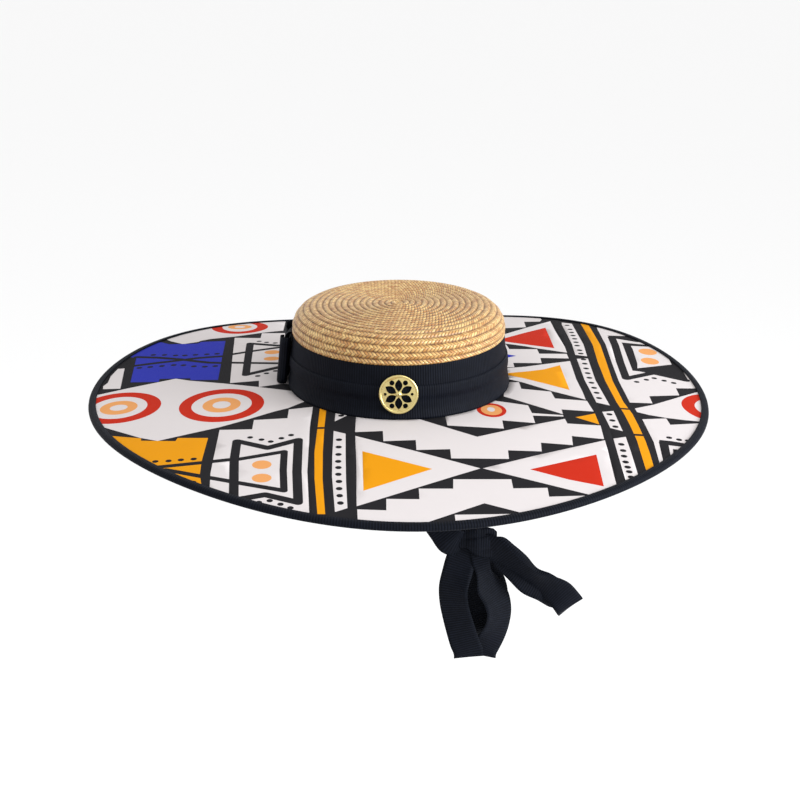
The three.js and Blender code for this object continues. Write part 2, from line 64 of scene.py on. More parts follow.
def make_camera():
    data = bpy.data.cameras.new("camera")
    data.lens = LENS
    data.sensor_width = SENSOR
    camera = bpy.data.objects.new("camera", data)
    bpy.context.scene.collection.objects.link(camera)
    above = math.radians(CAMERA_ABOVE)
    away = Vector((0.0, -math.cos(above), math.sin(above))) * CAMERA_AWAY
    camera.location = (LOOK_AT + away) * MM
    camera.rotation_euler = (-away).to_track_quat("-Z", "Y").to_euler()
    bpy.context.scene.camera = camera
    return camera


print("camera at", tuple(round(c, 3) for c in make_camera().location))

# %% [markdown]
# The studio is plain: a pale floor far below the hat, a white surround, a soft lamp above and a
# broad cool one low at the right, like a window. The low one hardly touches the flat brim but
# lights the upright ribbons from the right, so their left sides stay near black. The hat is held
# up, as a head holds it, so its shadow falls far below it. Lamps stand at places in metres.

# %% Studio
FLOOR_BELOW = 900.0
FLOOR_SIZE = 60000.0
WARM_WHITE = (1.0, 0.97, 0.92)
COOL_WHITE = (0.93, 0.96, 1.0)


def add_lamp(name, place, size, watts, colour):
    data = bpy.data.lights.new(name, "AREA")
    data.shape = "DISK"
    data.size = size
    data.energy = watts
    data.color = colour
    lamp = bpy.data.objects.new(name, data)
    bpy.context.scene.collection.objects.link(lamp)
    lamp.location = place
    lamp.rotation_euler = Vector(place).to_track_quat("Z", "Y").to_euler()
    return lamp


def make_studio():
    world = bpy.data.worlds.new("studio")
    world.use_nodes = True
    surround = world.node_tree.nodes["Background"]
    surround.inputs["Color"].default_value = (1.0, 1.0, 1.0, 1.0)
    surround.inputs["Strength"].default_value = 1.0
    bpy.context.scene.world = world
    add_lamp("key_lamp", (0.9, -1.1, 1.6), size=0.8, watts=9, colour=WARM_WHITE)
    add_lamp("window_lamp", (1.7, -0.75, 0.42), size=1.1, watts=48, colour=COOL_WHITE)
    bpy.context.scene.view_settings.view_transform = "Standard"


make_studio()

# %% [markdown]
# A few helpers carry all the finishes. Colours are picked as sRGB hex values, the way a colour
# chart gives them, and one function turns them to the linear values that light is worked out in.
# One small function adds a node with its settings and its links. The floor is painted with them:
# it is matt and nearly white, so it throws soft light back up under the brim.

# %% Colour and node helpers
def linear(hex_code):
    """The sRGB curve: from a hex code to the linear values of red, green and blue."""
    channels = [int(hex_code[i:i + 2], 16) / 255 for i in (1, 3, 5)]
    light = [c / 12.92 if c <= 0.04045 else ((c + 0.055) / 1.055) ** 2.4 for c in channels]
    return (*light, 1.0)


def scaled(colour, factor):
    """The same colour, lighter or darker."""
    return (*(c * factor for c in colour[:3]), 1.0)


def add_node(tree, kind, settings=None, inputs=None):
    node = tree.nodes.new(kind)
    for key, value in (settings or {}).items():
        setattr(node, key, value)
    for key, value in (inputs or {}).items():
        if isinstance(value, bpy.types.NodeSocket):
            tree.links.new(value, node.inputs[key])
        else:
            node.inputs[key].default_value = value
    return node


def new_finish(name, **sockets):
    material = bpy.data.materials.new(name)
    material.use_nodes = True
    shader = material.node_tree.nodes["Principled BSDF"]
    for key, value in sockets.items():
        shader.inputs[key.replace("_", " ")].default_value = value
    return material, material.node_tree, shader


def reckon(tree, operation, first, second=0.0, third=0.5):
    """One step of arithmetic. Only MULTIPLY_ADD reads the third value, and adds it."""
    values = {0: first, 1: second, 2: third}
    return add_node(tree, "ShaderNodeMath", {"operation": operation}, values).outputs[0]


def mix_colours(tree, share, first, second):
    node = add_node(tree, "ShaderNodeMix", {"data_type": "RGBA"},
                    {"Factor": share, "A": first, "B": second})
    return node.outputs["Result"]


def set_floor():
    bpy.ops.mesh.primitive_plane_add(size=FLOOR_SIZE * MM, location=(0, 0, -FLOOR_BELOW * MM))
    floor = bpy.context.object
    floor.name = "floor"
    paint, _, shader = new_finish("white_studio_paint", Roughness=0.9)
    shader.inputs["Base Color"].default_value = linear("#F8F8F8")
    floor.data.materials.append(paint)
    return floor


print("floor at", round(set_floor().location.z, 2), "m")

# %% [markdown]
# The hat's shape comes from a few sizes. The head opening is an oval, the crown's wall leans in as
# it rises, and the brim droops a little and waves. These functions are the ones that the frame's
# solids follow, so a piece made with them lies where its solid lies.

# %% Sizes and surfaces of the hat
HALF_WIDTH = 86.0
HALF_LENGTH = 96.0
STRAW = 2.5
CROWN_HEIGHT = 66.5
SHOULDER_RADIUS = 23.0
WALL_LEAN = math.radians(5.8)
TOP_RISE = 1.0
GAP = 0.3
BRIM_WIDTH = 161.2
BRIM_THICK = 2.6
BRIM_DROOP = 12.7
BRIM_BEND = 1.35
BRIM_START = HALF_WIDTH + STRAW + GAP
BRIM_EDGE = BRIM_START + BRIM_WIDTH
LEAST_REACH = HALF_WIDTH / 3
GUESSES = 8

Wave = namedtuple("Wave", "repeats across along")
BRIM_WAVES = (
    Wave(1, -0.009, 0.012),
    Wave(2, 0.039, 0.016),
    Wave(3, -0.002, 0.009),
    Wave(4, -0.017, -0.003),
)


def oval(reach, angle, z):
    """A point of the oval whose half width is reach. Takes numbers or whole arrays."""
    stretch = (HALF_LENGTH - HALF_WIDTH) * np.minimum(1.0, reach / HALF_WIDTH)
    x, y, z = np.broadcast_arrays(reach * np.cos(angle), (reach + stretch) * np.sin(angle), z)
    return np.stack([x, y, z], -1)


def oval_reach(x, y):
    """Which oval a point of the brim lies on, and the angle there, by guesses that close in on it."""
    more = HALF_LENGTH - HALF_WIDTH
    reach = np.hypot(x, y) - more / 2
    for _ in range(GUESSES):
        reach = np.maximum(reach, LEAST_REACH)
        miss = (x / reach) ** 2 + (y / (reach + more)) ** 2 - 1
        reach = reach + miss / (2 * x ** 2 / reach ** 3 + 2 * y ** 2 / (reach + more) ** 3)
    return reach, np.arctan2(y / (reach + more), x / reach)


def brim_top(reach, angle):
    share = np.maximum(0.0, (reach - BRIM_START) / BRIM_WIDTH) ** BRIM_BEND
    wave = sum(w.across * np.cos(w.repeats * angle) + w.along * np.sin(w.repeats * angle)
               for w in BRIM_WAVES)
    return BRIM_THICK + share * (wave * BRIM_WIDTH - BRIM_DROOP)


def wall_reach(z):
    return HALF_WIDTH + STRAW - z * math.tan(WALL_LEAN)


print("brim edge from the middle", BRIM_EDGE, "mm")

# %% [markdown]
# Every piece is a mesh made from a grid of points or from a list of faces. Each face carries the
# place of its corners along and across the straw, ribbon or cloth, in millimetres. The finishes
# read that place, so that ribs and plaits follow the piece round its bends.

# %% Mesh helpers
def mesh_piece(name, points, faces, finishes, thread=None, inks=None):
    mesh = bpy.data.meshes.new(name)
    mesh.from_pydata([tuple(p) for p in np.asarray(points) * MM], [], faces)
    for finish in finishes:
        mesh.materials.append(finish)
    if thread is not None:
        layer = mesh.uv_layers.new(name="thread")
        layer.data.foreach_set("uv", np.asarray(thread, np.float32).ravel())
    if inks is not None:
        mesh.polygons.foreach_set("material_index", np.asarray(inks, np.int32))
    mesh.polygons.foreach_set("use_smooth", np.ones(len(mesh.polygons), bool))
    mesh.validate()
    piece = bpy.data.objects.new(name, mesh)
    bpy.context.scene.collection.objects.link(piece)
    return piece


def grid_piece(name, grid, finishes, along, across, rows_close=False, columns_close=False, capped=False):
    """grid[i][j] is a point, along[i] and across[j] its place on the material. Where the rows or
    the columns close, along or across has one value more than the grid has lines."""
    rows, columns = grid.shape[:2]
    faces, thread = [], []
    for i in range(rows if rows_close else rows - 1):
        for j in range(columns if columns_close else columns - 1):
            i2, j2 = (i + 1) % rows, (j + 1) % columns
            faces.append((i * columns + j, i2 * columns + j, i2 * columns + j2, i * columns + j2))
            thread += [(along[i], across[j]), (along[i + 1], across[j])]
            thread += [(along[i + 1], across[j + 1]), (along[i], across[j + 1])]
    if capped:
        faces.append(tuple(reversed(range(columns))) if columns_close else tuple(range(columns)))
        faces.append(tuple((rows - 1) * columns + j for j in range(columns)))
        thread += [(along[0], across[0])] * columns + [(along[-1], across[0])] * columns
    piece = mesh_piece(name, grid.reshape(-1, 3), faces, finishes, thread)
    face_outward(piece)
    return piece


def face_outward(piece):
    """Turns the faces of a closed mesh outward, by the sign of its volume."""
    mesh = piece.data
    mesh.calc_loop_triangles()
    co = np.array([v.co for v in mesh.vertices])
    corners = co[np.array([t.vertices[:] for t in mesh.loop_triangles])]
    volume = np.einsum("ij,ij->i", corners[:, 0], np.cross(corners[:, 1], corners[:, 2])).sum()
    if volume < 0:
        mesh.flip_normals()


def dress(piece, slot, *nodes):
    """The piece moves with the hat and stands for these solids. The slot is not used."""
    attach(piece, "root")
    if nodes:
        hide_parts(*nodes)
    triangles = sum(len(p.vertices) - 2 for p in piece.data.polygons)
    print(piece.name, triangles, "triangles")
    return piece

# %% [markdown]
# The brim is covered with cotton printed in flat inks: a plain weave, matt, with no gloss at all.
# Threads of a shirting cotton lie about 0.3 mm apart. That is finer than the picture can show, so
# the weave here is drawn at 0.9 mm, just enough to break up the flat colour. Wear and the thicker
# places of the threads, called slubs, darken each ink a little in patches about 22 mm across.

# %% Printed cotton
WEAVE = 0.9
WEAVE_DEPTH = 0.06
WEAVE_SHADE = 0.06
SLUBS_PER_METRE = 45.0
SLUB_SHADE = 0.16
WORN = 0.86
INKS = {
    "white": "#CFC9C9",
    "black": "#1D1C1F",
    "red": "#B8260F",
    "yellow": "#D99006",
    "blue": "#2A32A2",
    "peach": "#DA985C",
}


def woven_bump(tree, place, pitch, depth):
    """Over-and-under threads in both ways of the cloth, as a height for the light to catch."""
    scale = 2 * math.pi / (pitch * MM)
    split = add_node(tree, "ShaderNodeSeparateXYZ", inputs={0: place})
    warp = reckon(tree, "SINE", reckon(tree, "MULTIPLY", split.outputs[0], scale))
    weft = reckon(tree, "SINE", reckon(tree, "MULTIPLY", split.outputs[1], scale))
    height = reckon(tree, "MULTIPLY", warp, weft)
    bump = add_node(tree, "ShaderNodeBump", inputs={
        "Height": height, "Strength": 0.5, "Distance": depth * MM})
    return bump.outputs[0], height


def printed_cotton(name, hex_code):
    cloth, tree, shader = new_finish("printed_cotton_" + name, Roughness=0.9, Specular_IOR_Level=0.12)
    place = add_node(tree, "ShaderNodeTexCoord").outputs["Object"]
    normal, height = woven_bump(tree, place, WEAVE, WEAVE_DEPTH)
    slub = add_node(tree, "ShaderNodeTexNoise", inputs={
        "Vector": place, "Scale": SLUBS_PER_METRE, "Detail": 3.0})
    soft = reckon(tree, "MULTIPLY_ADD", height, WEAVE_SHADE, 0.5)
    shade = reckon(tree, "ADD", reckon(tree, "MULTIPLY", slub.outputs[0], SLUB_SHADE), soft)
    full = linear(hex_code)
    tree.links.new(mix_colours(tree, shade, full, scaled(full, WORN)), shader.inputs["Base Color"])
    tree.links.new(normal, shader.inputs["Normal"])
    return cloth


COTTONS = [printed_cotton(name, hex_code) for name, hex_code in INKS.items()]
INK_NUMBER = {name: number for number, name in enumerate(INKS)}
print("inks", ", ".join(INKS))

# %% [markdown]
# The print is a geometric one in the manner of painted house fronts: black ground, white stepped
# fields, hourglasses of triangles, lens shapes with rings, and framed shields with dots. Each shape
# is laid over the ones before it, like paper cut-outs, so an outline needs only its own corners.
# The print lies a little turned on the brim, by the angle below.

# %% Cut-outs of the print
PRINT_TURN = math.radians(2.7)
layers = []


def cut_out(ink, *corners):
    layers.append((ink, np.array(corners, float)))


def disc(ink, u, w, across, tall=None, sides=12):
    angle = np.arange(sides) * 2 * math.pi / sides
    tall = across if tall is None else tall
    layers.append((ink, np.stack([u + across * np.cos(angle), w + tall * np.sin(angle)], -1)))


def stroke(ink, width, *points):
    """A line of some width with round corners."""
    for start, end in zip(points, points[1:]):
        start, end = np.array(start, float), np.array(end, float)
        side = np.array([start[1] - end[1], end[0] - start[0]])
        side *= width / 2 / np.linalg.norm(side)
        cut_out(ink, start + side, end + side, end - side, start - side)
    for u, w in points:
        disc(ink, u, w, width / 2)


def dots(radius, *points):
    for u, w in points:
        disc("black", u, w, radius, sides=10)


def ring(u, w, outer, hole, eye=None):
    """A red ring with a white middle, and a peach ring in it. Each pair is half width, half height."""
    disc("red", u, w, *outer, sides=56)
    disc("white", u, w, *hole, sides=48)
    if eye:
        disc("peach", u, w, *eye[0], sides=36)
        disc("white", u, w, *eye[1], sides=24)

# %% [markdown]
# In front of the badge lies the largest figure: an hourglass of two triangles, yellow on the left
# and red on the right, between white fields whose edges go up and down in steps. Corners are in
# millimetres on the flat cloth, first to the viewer's right and then towards the back of the hat.

# %% Print in front
cut_out("white", (-36.5, -80), (-38.3, -122.5), (-17.6, -121.8), (-17.8, -139.2), (6.2, -138),
        (5.8, -154), (30.6, -152.8), (30.3, -167), (72.3, -167.5), (73, -154), (97.8, -154.8),
        (99, -140.3), (122.5, -142.8), (124, -126.7), (147.9, -129.8), (149.3, -104),
        (124, -103.3), (123.3, -94), (52.3, -132.3), (12.3, -101.8), (0, -92))
cut_out("white", (-38.3, -129.3), (50.2, -181.8), (-39.8, -232.8))
cut_out("yellow", (-33.8, -154.8), (15.6, -182.5), (-34.6, -212.5))
cut_out("white", (52, -181.8), (148.3, -131.8), (145.8, -190), (145, -215), (124.8, -218.2))
cut_out("red", (85.8, -182.8), (137.8, -157.3), (135.7, -205.8), (112, -197))
cut_out("white", (-39.5, -236.8), (-19.6, -238), (-19, -223.3), (4, -223.8), (4.3, -209.8),
        (28.5, -210), (29.5, -197.2), (70.8, -197.2), (70.8, -209.8), (95.2, -208.8),
        (94.8, -220.8), (140, -217.5), (140, -275), (48.7, -229.3), (-31.2, -275), (-39.5, -275))
cut_out("white", (27, -243.7), (72, -242.8), (72, -275), (27, -275))
print(len(layers), "cut-outs in front")

# %% Print at the right
cut_out("white", (31, -85), (31.5, -112.8), (73.8, -117), (74.2, -101.5), (99, -104.8), (99, -90),
        (122.9, -89.4), (122.9, -86.6), (99, -84.8), (97.8, -68.5), (74.2, -60.3), (60, -50))
ring(68, -80.5, (11.5, 15), (8.2, 11))
disc("peach", 68, -80.5, 8.2, 11, sides=36)
disc("white", 67.8, -79.3, 3, 5, sides=24)
cut_out("white", (80.9, -49), (86, -13), (97.1, -12.4), (97.1, -29.3), (120.5, -34),
        (121.5, -50), (146.8, -52), (148.5, -75.4), (123.4, -74.4), (123.1, -84.5))
cut_out("yellow", (132.2, -89.7), (148.8, -79.6), (148.8, -102))
cut_out("white", (62, 10), (91.3, 25.1), (107.5, 30), (122.5, 37.2), (147.8, 49),
        (146.2, -49.4), (121.2, -32.5), (99.7, -12.4), (90, -5.2))
cut_out("yellow", (84, 9), (92, 12), (107.5, 17), (122, 23.5), (137.4, 36.5), (136.4, -28),
        (120.5, -16), (101, -1))
cut_out("white", (88, 100), (98.4, 97), (99.7, 82), (123.8, 82.3), (124, 68.5), (147.8, 69.7),
        (147.8, 56.4), (123.4, 56), (122.5, 41), (98.4, 40.4), (98, 28), (86, 27.5))
cut_out("blue", (103.3, 61.2), (84, 73.5), (84, 48))
cut_out("white", (79, 113), (101, 135.3), (124.4, 162.6), (136, 175.6), (149.8, 190.6),
        (149.1, 72.9), (123.8, 85.3), (114, 91.8), (98.4, 100.2))
cut_out("red", (92, 114), (101, 121), (119.9, 140.5), (141.3, 160.7), (139.4, 86.2),
        (120.5, 95), (101, 105.4))
cut_out("white", (104, 162.5), (124, 164.5), (125.5, 192), (140, 190.5), (143, 200),
        (143, 275), (104, 275))
print(len(layers), "with the right side")

# %% [markdown]
# Long borders run from front to back: a black column, a white strip with a row of dots, and a
# yellow bar. They bend a little, because the cloth was stretched over the brim.

# %% Borders at the right
RIGHT_COLUMN = ((-275, 143, 150.2), (-200, 145.2, 152.4), (-150, 147.5, 154.3), (-100, 149.4, 155.3),
                (-75, 148.8, 155), (-50, 146.8, 154), (0, 145.9, 152.7), (50, 147.8, 154.6),
                (100, 149.5, 156.9), (150, 149.8, 157.9), (275, 150.5, 160))
RIGHT_BAR = ((-181, 170.6, 177), (-150, 171.9, 178.7), (-130, 172.9, 179.4), (-100, 172.8, 179.4),
             (-75, 172.2, 179), (-50, 170.6, 176.4), (0, 169.9, 176.1), (50, 171.6, 179),
             (100, 175.1, 181.9), (162, 175.8, 182.3), (230, 176.5, 183))
LEFT_BAR = ((-243, -66.8, -61.5), (-195, -68.7, -63), (-155, -68.7, -62.6), (-111, -66.3, -61.2),
            (-70, -64.5, -59.3))


def column(ink, rows):
    left = [(u, w) for w, u, _ in rows]
    right = [(u, w) for w, _, u in rows]
    cut_out(ink, *left, *reversed(right))


column("black", RIGHT_COLUMN)
column("yellow", RIGHT_BAR)
cut_out("black", (170, -63.7), (182, -63.7), (182, -67), (170, -67))
cut_out("black", (171, -116.6), (181, -116.6), (181, -120.3), (171, -120.3))
cut_out("white", (159.5, 183.4), (168, 177), (167.6, 165), (167, 100), (164.7, 64), (155, 67.5),
        (156.9, 100), (158.2, 173))
cut_out("white", (154.6, 56), (164.4, 58), (161.8, 0), (163.8, -59.8), (154, -54.6), (152.7, 0))
cut_out("white", (155.3, -75.1), (164.7, -71.5), (165, -112.8), (156.3, -107.9))
cut_out("white", (155.3, -128), (165.4, -123.5), (164.7, -149.5), (162.8, -205), (152.6, -205),
        (154.3, -149.5))
dots(2.5, (162.5, 170), (162.8, 153), (162.4, 141), (162.1, 129.5), (161.8, 118), (161.3, 106.5),
     (160.8, 95.7), (160.8, 81.4), (160.4, 71.6))
dots(2.5, (160.2, 54.7), (159.5, 43), (158.6, 30), (158, 17.5), (157.6, 5.5), (157.4, -7),
     (157.6, -19.5), (157.8, -31.5), (157.8, -43.9))
dots(2.5, (160.2, -79.6), (160.4, -92.3), (160.7, -104.7))
dots(2.5, (159.6, -137.8), (159.1, -148.6), (158.2, -158.2), (157.7, -167.7), (157.8, -175.8),
     (157.7, -183), (157.6, -191.1))
print(len(layers), "with the right borders")

# %% [markdown]
# Beyond the bar lies a lens with a red ring, and above and below it a white field with a framed
# shield. The rim cuts through all three, so their shapes are drawn on past it.

# %% Lens and shields at the right
cut_out("white", (189.5, 170), (188.1, 155), (186.8, 100), (183.6, 50), (181.3, 0), (181.5, -50),
        (200, -48.5), (200.5, -32), (226.5, -25), (227, -8.5), (275, 0), (275, 170))
cut_out("white", (184.9, -85.8), (204.7, -80.6), (205.4, -93.6), (229.7, -86), (275, -80),
        (275, -200), (182.6, -200), (182.6, -172), (185.5, -130))
cut_out("white", (183.2, -63), (200.5, -51.4), (227.1, -28), (243.4, -14.3), (275, 8),
        (275, -84), (232.3, -81.9), (219.3, -81.3), (205, -79.3), (192, -75.4), (183.5, -70.8))
ring(255, -51, (31.5, 34), (21, 23))
stroke("black", 7, (196.2, 126), (195, 100), (191, 50), (188.8, 8.5), (214.4, 26.7), (240, 13))
cut_out("black", (192.7, 131.4), (199.8, 131), (242, 131), (242, 112), (216, 112), (199.8, 121))
cut_out("black", (202.4, 109.3), (217.4, 106), (242, 100), (242, 14), (236, 14), (203.4, 29), (198, 30),
        (202, 100))
cut_out("white", (208.9, 99.6), (227, 99), (236.2, 69), (235.6, 52), (203.4, 37), (205.7, 50),
        (208.9, 90))
disc("peach", 220.9, 84, 8, 9, sides=28)
disc("peach", 218, 58, 7.7, 9, sides=28)
dots(2.4, (196.3, 1.4), (205.7, 8.3), (213.2, 13.4), (220.6, 8.6), (227.8, 4.4))
cut_out("black", (190.7, -125.5), (198.5, -126), (206.3, -128), (214, -131), (275, -150),
        (275, -190), (185.9, -190), (185.9, -167), (189.4, -130))
cut_out("white", (195.9, -134.6), (207, -136), (203, -141.5), (197.9, -141), (195.3, -156),
        (193.3, -158))
dots(2.4, (199.2, -119.9), (206.3, -122.6), (212.8, -123.5))
print(len(layers), "with the right rim")

# %% [markdown]
# On the left a big white lens points both ways and holds two rings. Behind it are a second lens
# and a blue block, and in front of it a yellow block. The bars of the shields run on across both.

# %% Lenses at the left
cut_out("white", (-182.9, 20.2), (-171, 12.5), (-143, 0), (-113.6, -14.1), (-94, -24), (-60, -40),
        (-60, -50), (-76.5, -54.5), (-89, -68.5), (-100, -75.2), (-120, -90), (-140, -103),
        (-160, -112.4), (-185.2, -124.2), (-198.8, -116), (-229.5, -87.8), (-275, -50),
        (-275, -20), (-241.7, -7.8), (-220, 3.1))
ring(-141.4, -53.6, (33.3, 38.6), (23.6, 27.1), ((15, 17.5), (7.1, 8.4)))
ring(-222.7, -44.5, (33.2, 36.7), (22.4, 25.8), ((14.8, 16.3), (7, 7)))
cut_out("white", (-205, 150), (-196.2, 136.4), (-185, 124.5), (-172, 130), (-169.6, 134.3),
        (-161.2, 139.9), (-140.2, 146.9), (-117.8, 160.9), (-106.6, 167.2), (-97.5, 171.4),
        (-96, 275), (-240, 275))
ring(-138, 194, (26, 35), (16, 24.5), ((11, 12), (5, 5.5)))
print(len(layers), "with the left lenses")

# %% Blocks and shields at the left
cut_out("blue", (-260, 110), (-222, 87), (-220, 18.5), (-196.5, 14.5), (-196.5, 22.3),
        (-171, 19), (-170.5, 14), (-144.4, 9.7), (-146.5, 100), (-148, 130), (-169, 129.5),
        (-172, 124), (-197, 126), (-205, 135))
cut_out("white", (-140.2, 141.5), (-117, 137.5), (-116.5, 159.5), (-97, 158.5), (-60, 158),
        (-60, -20), (-94.7, -8), (-113.5, -14), (-114, 2.5), (-137.4, 0))
cut_out("white", (-234.7, 58), (-229.1, 58), (-226.7, 3.4), (-241, 5.5), (-241.7, 13.2),
        (-238.9, 21.6), (-238.5, 38.4))
stroke("black", 6.6, (-97, 107), (-101, 106), (-125.4, 117), (-125.4, 20), (-97, 38.5), (-80, 49))
stroke("black", 5.5, (-222, 89.5), (-203, 83.5), (-184, 75), (-169, 66), (-158, 60), (-147, 57),
       (-139, 56.5), (-122, 53), (-97, 48.5))
stroke("black", 5.5, (-222, 63.5), (-202, 68), (-184, 71.5), (-172, 75), (-160, 76.5),
       (-147, 77.5), (-140, 82), (-129, 87), (-120, 91), (-97, 100.5))
stroke("black", 7.5, (-144, 141), (-144, 10))
disc("peach", -105.2, 83.9, 6.8, 6.5, sides=28)
disc("peach", -105.2, 63.6, 6.8, 6, sides=28)
dots(2.4, (-117.8, 124.5), (-111.1, 119.6), (-103.4, 116.1))
dots(2.4, (-115.4, 15.3), (-108.4, 21.6), (-101, 27.2))
dots(2.6, (-208.1, 93), (-198.3, 90.9), (-188.5, 87.4), (-180.4, 86), (-171.3, 86),
     (-161.5, 86), (-152.8, 86))
dots(2.6, (-216.5, 56.6), (-207.4, 57.3), (-197.6, 58), (-187.8, 58.7), (-179.4, 56.6),
     (-170.3, 51.7), (-160.9, 48.9), (-152.1, 48.9))

cut_out("yellow", (-230, -150), (-221, -108), (-198, -117), (-197.7, -121.7), (-171.8, -126.5),
        (-170.5, -120.5), (-147.8, -123.5), (-150, -165), (-150, -186), (-148, -202),
        (-190, -215))
cut_out("white", (-140, -108.8), (-115.5, -110.5), (-114.8, -91.7), (-89.3, -90.8),
        (-88.5, -71.8), (-70, -67.7), (-73, -150), (-73.8, -185), (-71.5, -275), (-130, -275),
        (-141, -235), (-142.5, -185))
SHIELD_OUTLINE = ((-126, -132), (-103, -146), (-80.6, -133.4), (-81.2, -185), (-80, -228),
                  (-103, -217.5), (-124.4, -224.5), (-126.6, -165))
stroke("black", 6.8, *SHIELD_OUTLINE, SHIELD_OUTLINE[0])
stroke("black", 5.3, (-200, -174.5), (-180, -171.8), (-150, -167.4), (-130.5, -164),
       (-123, -163.5), (-90.7, -153), (-91, -182), (-90, -212), (-123, -200), (-130, -197),
       (-150, -188.8), (-175, -177))
disc("peach", -106.5, -173.3, 7, 6.8, sides=28)
disc("peach", -106, -193.7, 7, 6.5, sides=28)
dots(2.3, (-116.5, -126), (-107.9, -130.9), (-101, -135), (-93.2, -129.6), (-86.1, -124.4))
dots(2.3, (-107, -227.8), (-99.6, -225.6), (-92.1, -230.4), (-85.2, -235.1))
dots(2.4, (-183.5, -162.2), (-174, -162.2), (-165.2, -161.3), (-156, -160.7), (-162, -195),
     (-154, -198))
column("yellow", LEFT_BAR)
cut_out("black", (-68, -111.2), (-60, -111.2), (-60, -114.8), (-68, -114.8))
cut_out("white", (-54.3, -119.3), (-45.5, -125), (-46.2, -170), (-46.5, -200), (-46.2, -235.3),
        (-54.8, -240.2), (-56.3, -192.5), (-55.8, -162.5))
cut_out("white", (-52.5, -80), (-44, -84.5), (-44, -89.8), (-53.3, -101))
dots(2.4, (-50.6, -135.2), (-51, -147.5), (-51.3, -159.4), (-51.6, -170.2), (-51.6, -179.5),
     (-51.8, -189.4), (-51.5, -199.6), (-51.5, -209.5), (-51.3, -219), (-50.9, -228.7),
     (-48.3, -89.5))
print(len(layers), "with the left side")

# %% [markdown]
# The crown hides the back of the brim. There the print carries on by its own rule: the hourglass
# comes again between the borders, with its yellow triangle at the left and its red one at the right.

# %% Print behind the crown
column("yellow", ((100, -64.6, -59.3), (170, -65, -59.6), (275, -65.5, -60)))
cut_out("white", (-54.5, 104), (-46, 98), (-46.2, 150), (-46, 206), (-55, 201), (-55.5, 150))
dots(2.4, *[(-50.7, 112 + 10.6 * step) for step in range(8)])
cut_out("white", (-36, 84), (-36, 122), (-15, 121), (-15, 107), (8, 106), (8, 94), (50, 93),
        (50, 80))
cut_out("white", (-38, 68), (-38, 208), (79, 138))
cut_out("yellow", (-33, 110), (-33, 166), (27, 138))
cut_out("white", (-36, 214), (-15, 215), (-15, 201), (8, 202), (8, 188), (32, 189), (32, 175),
        (77, 175), (77, 189), (98, 188), (98, 275), (-36, 275))
cut_out("white", (104, 210), (143, 210), (143, 275), (104, 275))
print(len(layers), "cut-outs in all")

# %% [markdown]
# The printed cloth is one thin sheet, stretched over the brim. A picture cannot be used here, so
# the cloth itself is cut along every outline: a constrained triangulation takes the outlines as
# edges that it has to keep, and each small face then takes the ink of the top cut-out over it.
# The colours meet in a sharp line this way, however near the camera comes.

# %% Cloth on the brim
CLOTH = 0.5
RINGS = 24
SPOKES = 180
RIBBON = 0.9
JUST_INSIDE = 0.9998
SAME_POINT = 0.01
CLOTH_EDGE = BRIM_EDGE - RIBBON - GAP


def print_to_brim(flat):
    c, s = math.cos(PRINT_TURN), math.sin(PRINT_TURN)
    return flat @ np.array([[c, s], [-s, c]])


def inside(points, corners):
    """Which points lie in a polygon, by counting how many of its edges each one has to its right."""
    x, y = points[:, 0, None], points[:, 1, None]
    x1, y1 = corners[:, 0], corners[:, 1]
    x2, y2 = np.roll(x1, -1), np.roll(y1, -1)
    spans = (y1 > y) != (y2 > y)
    rise = np.where(y2 == y1, 1.0, y2 - y1)
    return (spans & (x < x1 + (y - y1) * (x2 - x1) / rise)).sum(1) % 2 == 1


def cut_cloth():
    """Points and triangles of the flat ring, cut along the print, and each triangle's ink."""
    points, edges = [], []

    def add_outline(outline):
        first = len(points)
        points.extend(outline)
        edges.extend((first + i, first + (i + 1) % len(outline)) for i in range(len(outline)))

    spokes = np.arange(SPOKES) * 2 * math.pi / SPOKES
    for reach in np.linspace(BRIM_START, CLOTH_EDGE, RINGS):
        circle = oval(reach, spokes, 0.0)[:, :2]
        if reach in (BRIM_START, CLOTH_EDGE):
            add_outline(circle)
        else:
            points.extend(circle)
    shapes = [(ink, print_to_brim(corners)) for ink, corners in layers]
    for _, corners in shapes:
        add_outline(corners)
    out = delaunay_2d_cdt([Vector(p) for p in points], edges, [], 0, SAME_POINT, False)
    flat = np.array([v[:] for v in out[0]])
    faces = np.array([f for f in out[2] if len(f) == 3])
    middle = flat[faces].mean(1)
    reach, _ = oval_reach(middle[:, 0], middle[:, 1])
    kept = (reach > BRIM_START * JUST_INSIDE) & (reach < CLOTH_EDGE)
    faces, middle = faces[kept], middle[kept]
    ink = np.full(len(faces), INK_NUMBER["black"])
    for name, corners in shapes:
        ink[inside(middle, corners)] = INK_NUMBER[name]
    used, faces = np.unique(faces, return_inverse=True)
    return flat[used], faces.reshape(-1, 3), ink


